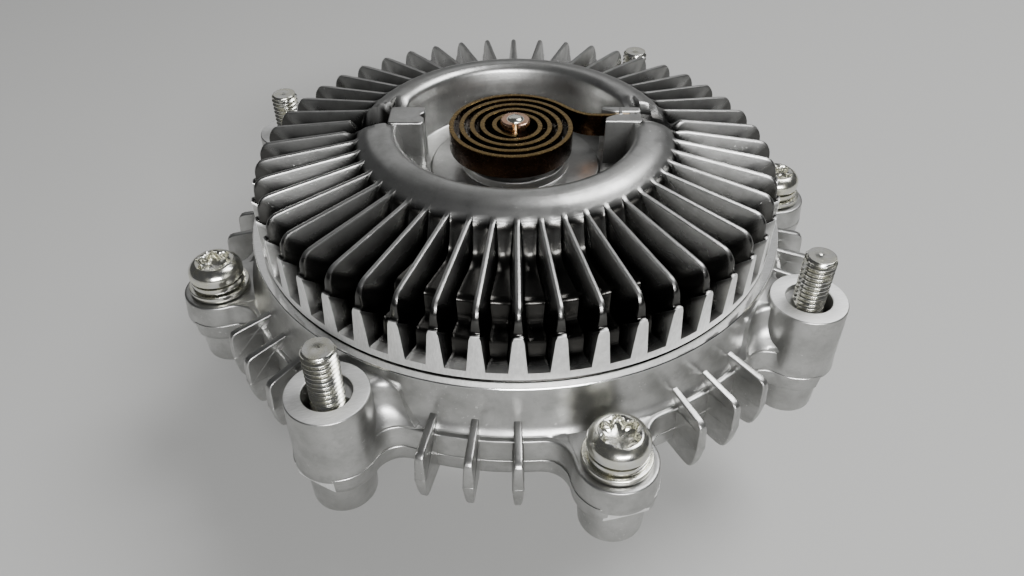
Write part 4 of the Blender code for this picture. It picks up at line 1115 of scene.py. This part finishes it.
def bimetal():
    shop = Shop("bimetal_bronze_strip")
    cloud = shop.noise(160.0, 4.0)
    fine = shop.noise(1400.0, 3.0, 0.6)
    edge = shop.spread(shop.axis("Z"), (STRIP_TOP - 0.12) * MM, (STRIP_TOP - 0.03) * MM)
    face = shop.mix(shop.spread(cloud, 0.35, 0.65), (0.030, 0.015, 0.008), (0.070, 0.036, 0.018))
    rim = shop.mix(shop.spread(fine, 0.3, 0.7), (0.16, 0.105, 0.038), (0.27, 0.185, 0.075))
    shop.bump(fine, 0.006, 0.4)
    return shop.paint(shop.mix(edge, face, rim), shop.spread(fine, 0.3, 0.7, 0.20, 0.30))


bronze = bimetal()
for piece in strip_pieces:
    piece.data.materials.append(bronze)
print("bronze ready")

# %% [markdown]
# ## The valve's pin
# The pin that the spiral turns is slit from the front to take the strip's end, and its middle
# is a small bright dome. Round it the flat face is painted copper, a painted reflection of the
# strip that winds round it. The slit has parallel sides, so on each radius the sweep starts at
# the angle whose sine is half the slit over the radius.

# %% Pin


def pin_sheets():
    top = high("valve_shaft")[2] - 0.6
    profile = soften([(1.0, low("valve_shaft")[2]), (3.0, low("valve_shaft")[2]),
                      (3.0, top - 0.25), (2.75, top), (1.0, top), (1.0, low("valve_shaft")[2])],
                     [0, 0.1, 0.1, 0.1, 0, 0], 3)[:-1]
    away = np.arcsin(0.62 / profile[:, :1])
    t = np.linspace(0, 1, 48)[None, :]
    a = -math.pi / 2 + EAR_TURN + away + (2 * math.pi - 2 * away) * t
    r, z = profile[:, :1], profile[:, 1:]
    grid = np.stack([r * np.cos(a), r * np.sin(a), z + 0 * a], axis=-1)
    left = grid[:, :1].mean(axis=0, keepdims=True) + 0 * grid[:, :1]
    right = grid[:, -1:].mean(axis=0, keepdims=True) + 0 * grid[:, :1]
    body = np.concatenate([left, grid, right], axis=1)
    crown = soften([(0.0, top - 3.0), (1.75, top - 3.0), (1.75, top - 0.1), (1.2, top + 0.5),
                    (0.0, top + 0.6)], [0, 0, 0.4, 0.5, 0], 6)
    return [(body, True, False), turned_sheet(crown, 48, closed=False)]


def pin_finish():
    """Bright steel up to the dome's edge, and outside it a copper ring that is a painted reflection
    of the strip.
    """
    shop = Shop("ground_steel_pin")
    cloud = shop.noise(900.0, 3.0)
    copper_reflection_mask = shop.spread(shop.from_axis(), 1.70 * MM, 1.80 * MM)
    # Painted reflection: the strip's copper colour on the flat face round the dome.
    painted_copper_reflection = shop.mix(shop.spread(cloud, 0.3, 0.7), (0.52, 0.30, 0.20), (0.66, 0.44, 0.32))
    shop.bump(cloud, 0.006)
    tint = shop.mix(copper_reflection_mask, (0.78, 0.77, 0.70), painted_copper_reflection)
    return shop.paint(tint, shop.spread(cloud, 0.3, 0.7, 0.12, 0.26))


lay("valve_pin", pin_sheets(), "valve", ["valve_shaft"], 34,
    finish=pin_finish())

# %% [markdown]
# ## Shaft and flange
# Underneath, the drive shaft ends in a square-looking flange with four ears, which bolts to
# the engine. The turned body is a revolve, and the plate is the same lobed outline at another
# size, with its edges eased. Its bolt holes are cut with plain round cutters that are thrown
# away afterwards.

# %% Drive shaft
BOLT_CIRCLE = 27.0
BOLT_HOLE = 4.3


def carve(piece, cutter):
    """Cut one piece with another, keep the result as the piece's own mesh, drop the cutter."""
    step = piece.modifiers.new("cut", "BOOLEAN")
    step.operation = "DIFFERENCE"
    step.solver = "EXACT"
    step.object = cutter
    graph = bpy.context.evaluated_depsgraph_get()
    result = bpy.data.meshes.new_from_object(piece.evaluated_get(graph))
    piece.modifiers.clear()
    piece.data = result
    bpy.data.objects.remove(cutter)
    result.shade_smooth()
    result.set_sharp_from_angle(angle=math.radians(34))


def drive_outline():
    """Four lobes, each turned to its bolt."""
    part = lobe(22.5, BOLT_CIRCLE, 8.0, 7.0, math.pi / 4)
    parts = []
    for angle in stud_angles:
        c, s = math.cos(angle), math.sin(angle)
        parts.append(part @ np.array([[c, s], [-s, c]]))
    return np.vstack(parts)


def bolt_cutter(angle):
    place = (BOLT_CIRCLE * math.cos(angle), BOLT_CIRCLE * math.sin(angle))
    profile = [(0, -2), (BOLT_HOLE, -2), (BOLT_HOLE, 9), (0, 9)]
    return turned_sheet(profile, 64, place, False)


drive_stations = [("c", 12.6, 0.6), ("c", 13.0, 0.0), ("o", 0.6, 0.0), ("o", 0.15, 0.15),
                  ("o", 0.0, 0.6), ("o", 0.0, 5.4), ("o", 0.15, 5.85), ("o", 0.6, 6.0),
                  ("c", 12.6, 6.0)]
shaft_top = high("drive_shaft")[2]
shaft_profile = soften([(0, 4.5), (12.5, 4.5), (12.5, 0.7), (13.1, 0.1), (16.5, 0.1), (16.5, 7.5),
                        (14.0, 8.6), (13.0, 16.2), (11.6, 18.9), (8.3, 18.9), (8.2, 33.8),
                        (7.7, 33.8), (7.7, shaft_top), (3.0, shaft_top),
                        (0, shaft_top - 3.0)], [0, 0.3, 0, 0.1, 0.2, 0.4, 1.0, 0.8] + [0.2] * 7, 4)
shaft = lay("drive_flange", [flange_sheet(drive_outline(), drive_stations)], "shaft",
            ["drive_shaft"], 34)
carve(shaft, lay("hole_tools", [bolt_cutter(a) for a in stud_angles], None, ()))
spindle = lay("drive_spindle", [turned_sheet(shaft_profile, 96, closed=False)], "shaft",
              ["drive_shaft"], 34)

# %% [markdown]
# ## Steel, brass and rubber for the parts inside
# The bearing's balls become true spheres, a little smaller than their grooves. The other inner
# parts keep their CAD shapes. Each still gets a finish made of nodes: rings from the lathe on
# the steel, warm brass on the cage, and matte rubber on the seals.

# %% The bearing's balls
BALL_RADIUS = 3.1
latitude = np.radians(np.linspace(-90, 90, 17))
balls = []
for name in [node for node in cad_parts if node.startswith("bearing_ball_")]:
    centre = (low(name) + high(name)) / 2
    sphere = np.column_stack([BALL_RADIUS * np.cos(latitude),
                              centre[2] + BALL_RADIUS * np.sin(latitude)])
    balls.append(lay(f"smooth_{name}", [turned_sheet(sphere, 32, centre[:2], closed=False)],
                     "cage", [name]))

# %% Finishes for the parts inside


def machined(name, dark, light, gloss, spacing):
    """Metal with lathe rings: a sine of the distance from the shaft's axis."""
    shop = Shop(name)
    patch = shop.noise(350.0, 4.0)
    turns = shop.maths("MULTIPLY", shop.from_axis(), 2 * math.pi / (spacing * MM))
    rings = shop.maths("SINE", turns)
    tint = shop.mix(shop.spread(patch, 0.3, 0.7), dark, light)
    shop.bump(shop.maths("ADD", rings, shop.maths("MULTIPLY", patch, 2.0)), 0.008, 0.6)
    return shop.paint(tint, shop.spread(patch, 0.3, 0.7, gloss, gloss + 0.14))


def rubber():
    shop = Shop("black_rubber_skin", metallic=0.0)
    fine = shop.noise(1500.0, 4.0)
    shop.bump(fine, 0.03, 0.6)
    tint = shop.mix(shop.spread(fine, 0.3, 0.7), (0.018, 0.018, 0.018), (0.045, 0.045, 0.043))
    return shop.paint(tint, shop.spread(fine, 0.3, 0.7, 0.45, 0.7))


ground = machined("ground_steel", (0.46, 0.46, 0.45), (0.60, 0.60, 0.59), 0.2, 0.35)
lathe_cut = machined("turned_aluminium", (0.60, 0.60, 0.59), (0.74, 0.74, 0.73), 0.25, 0.5)
brass = machined("cage_brass", (0.52, 0.38, 0.16), (0.68, 0.52, 0.26), 0.24, 0.6)
bush = machined("bush_bronze", (0.40, 0.26, 0.12), (0.56, 0.40, 0.22), 0.3, 0.4)
seal = rubber()
shaft.data.materials.clear()
for piece in [shaft, spindle] + balls:
    piece.data.materials.append(ground)
inside = {"drive_rotor": lathe_cut, "bearing_cage": brass, "valve_bush": bush,
          "cover_seal_ring": seal, "bearing_seal_front": seal, "bearing_seal_rear": seal}
shown = [name for name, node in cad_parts.items() if not node.hide_render]
for name in shown:
    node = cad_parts[name]
    node.data.materials.clear()
    node.data.materials.append(inside.get(name, ground))
    for face in node.data.polygons:
        face.use_smooth = True
print(f"{len(shown)} CAD nodes keep their shape and get a finish")
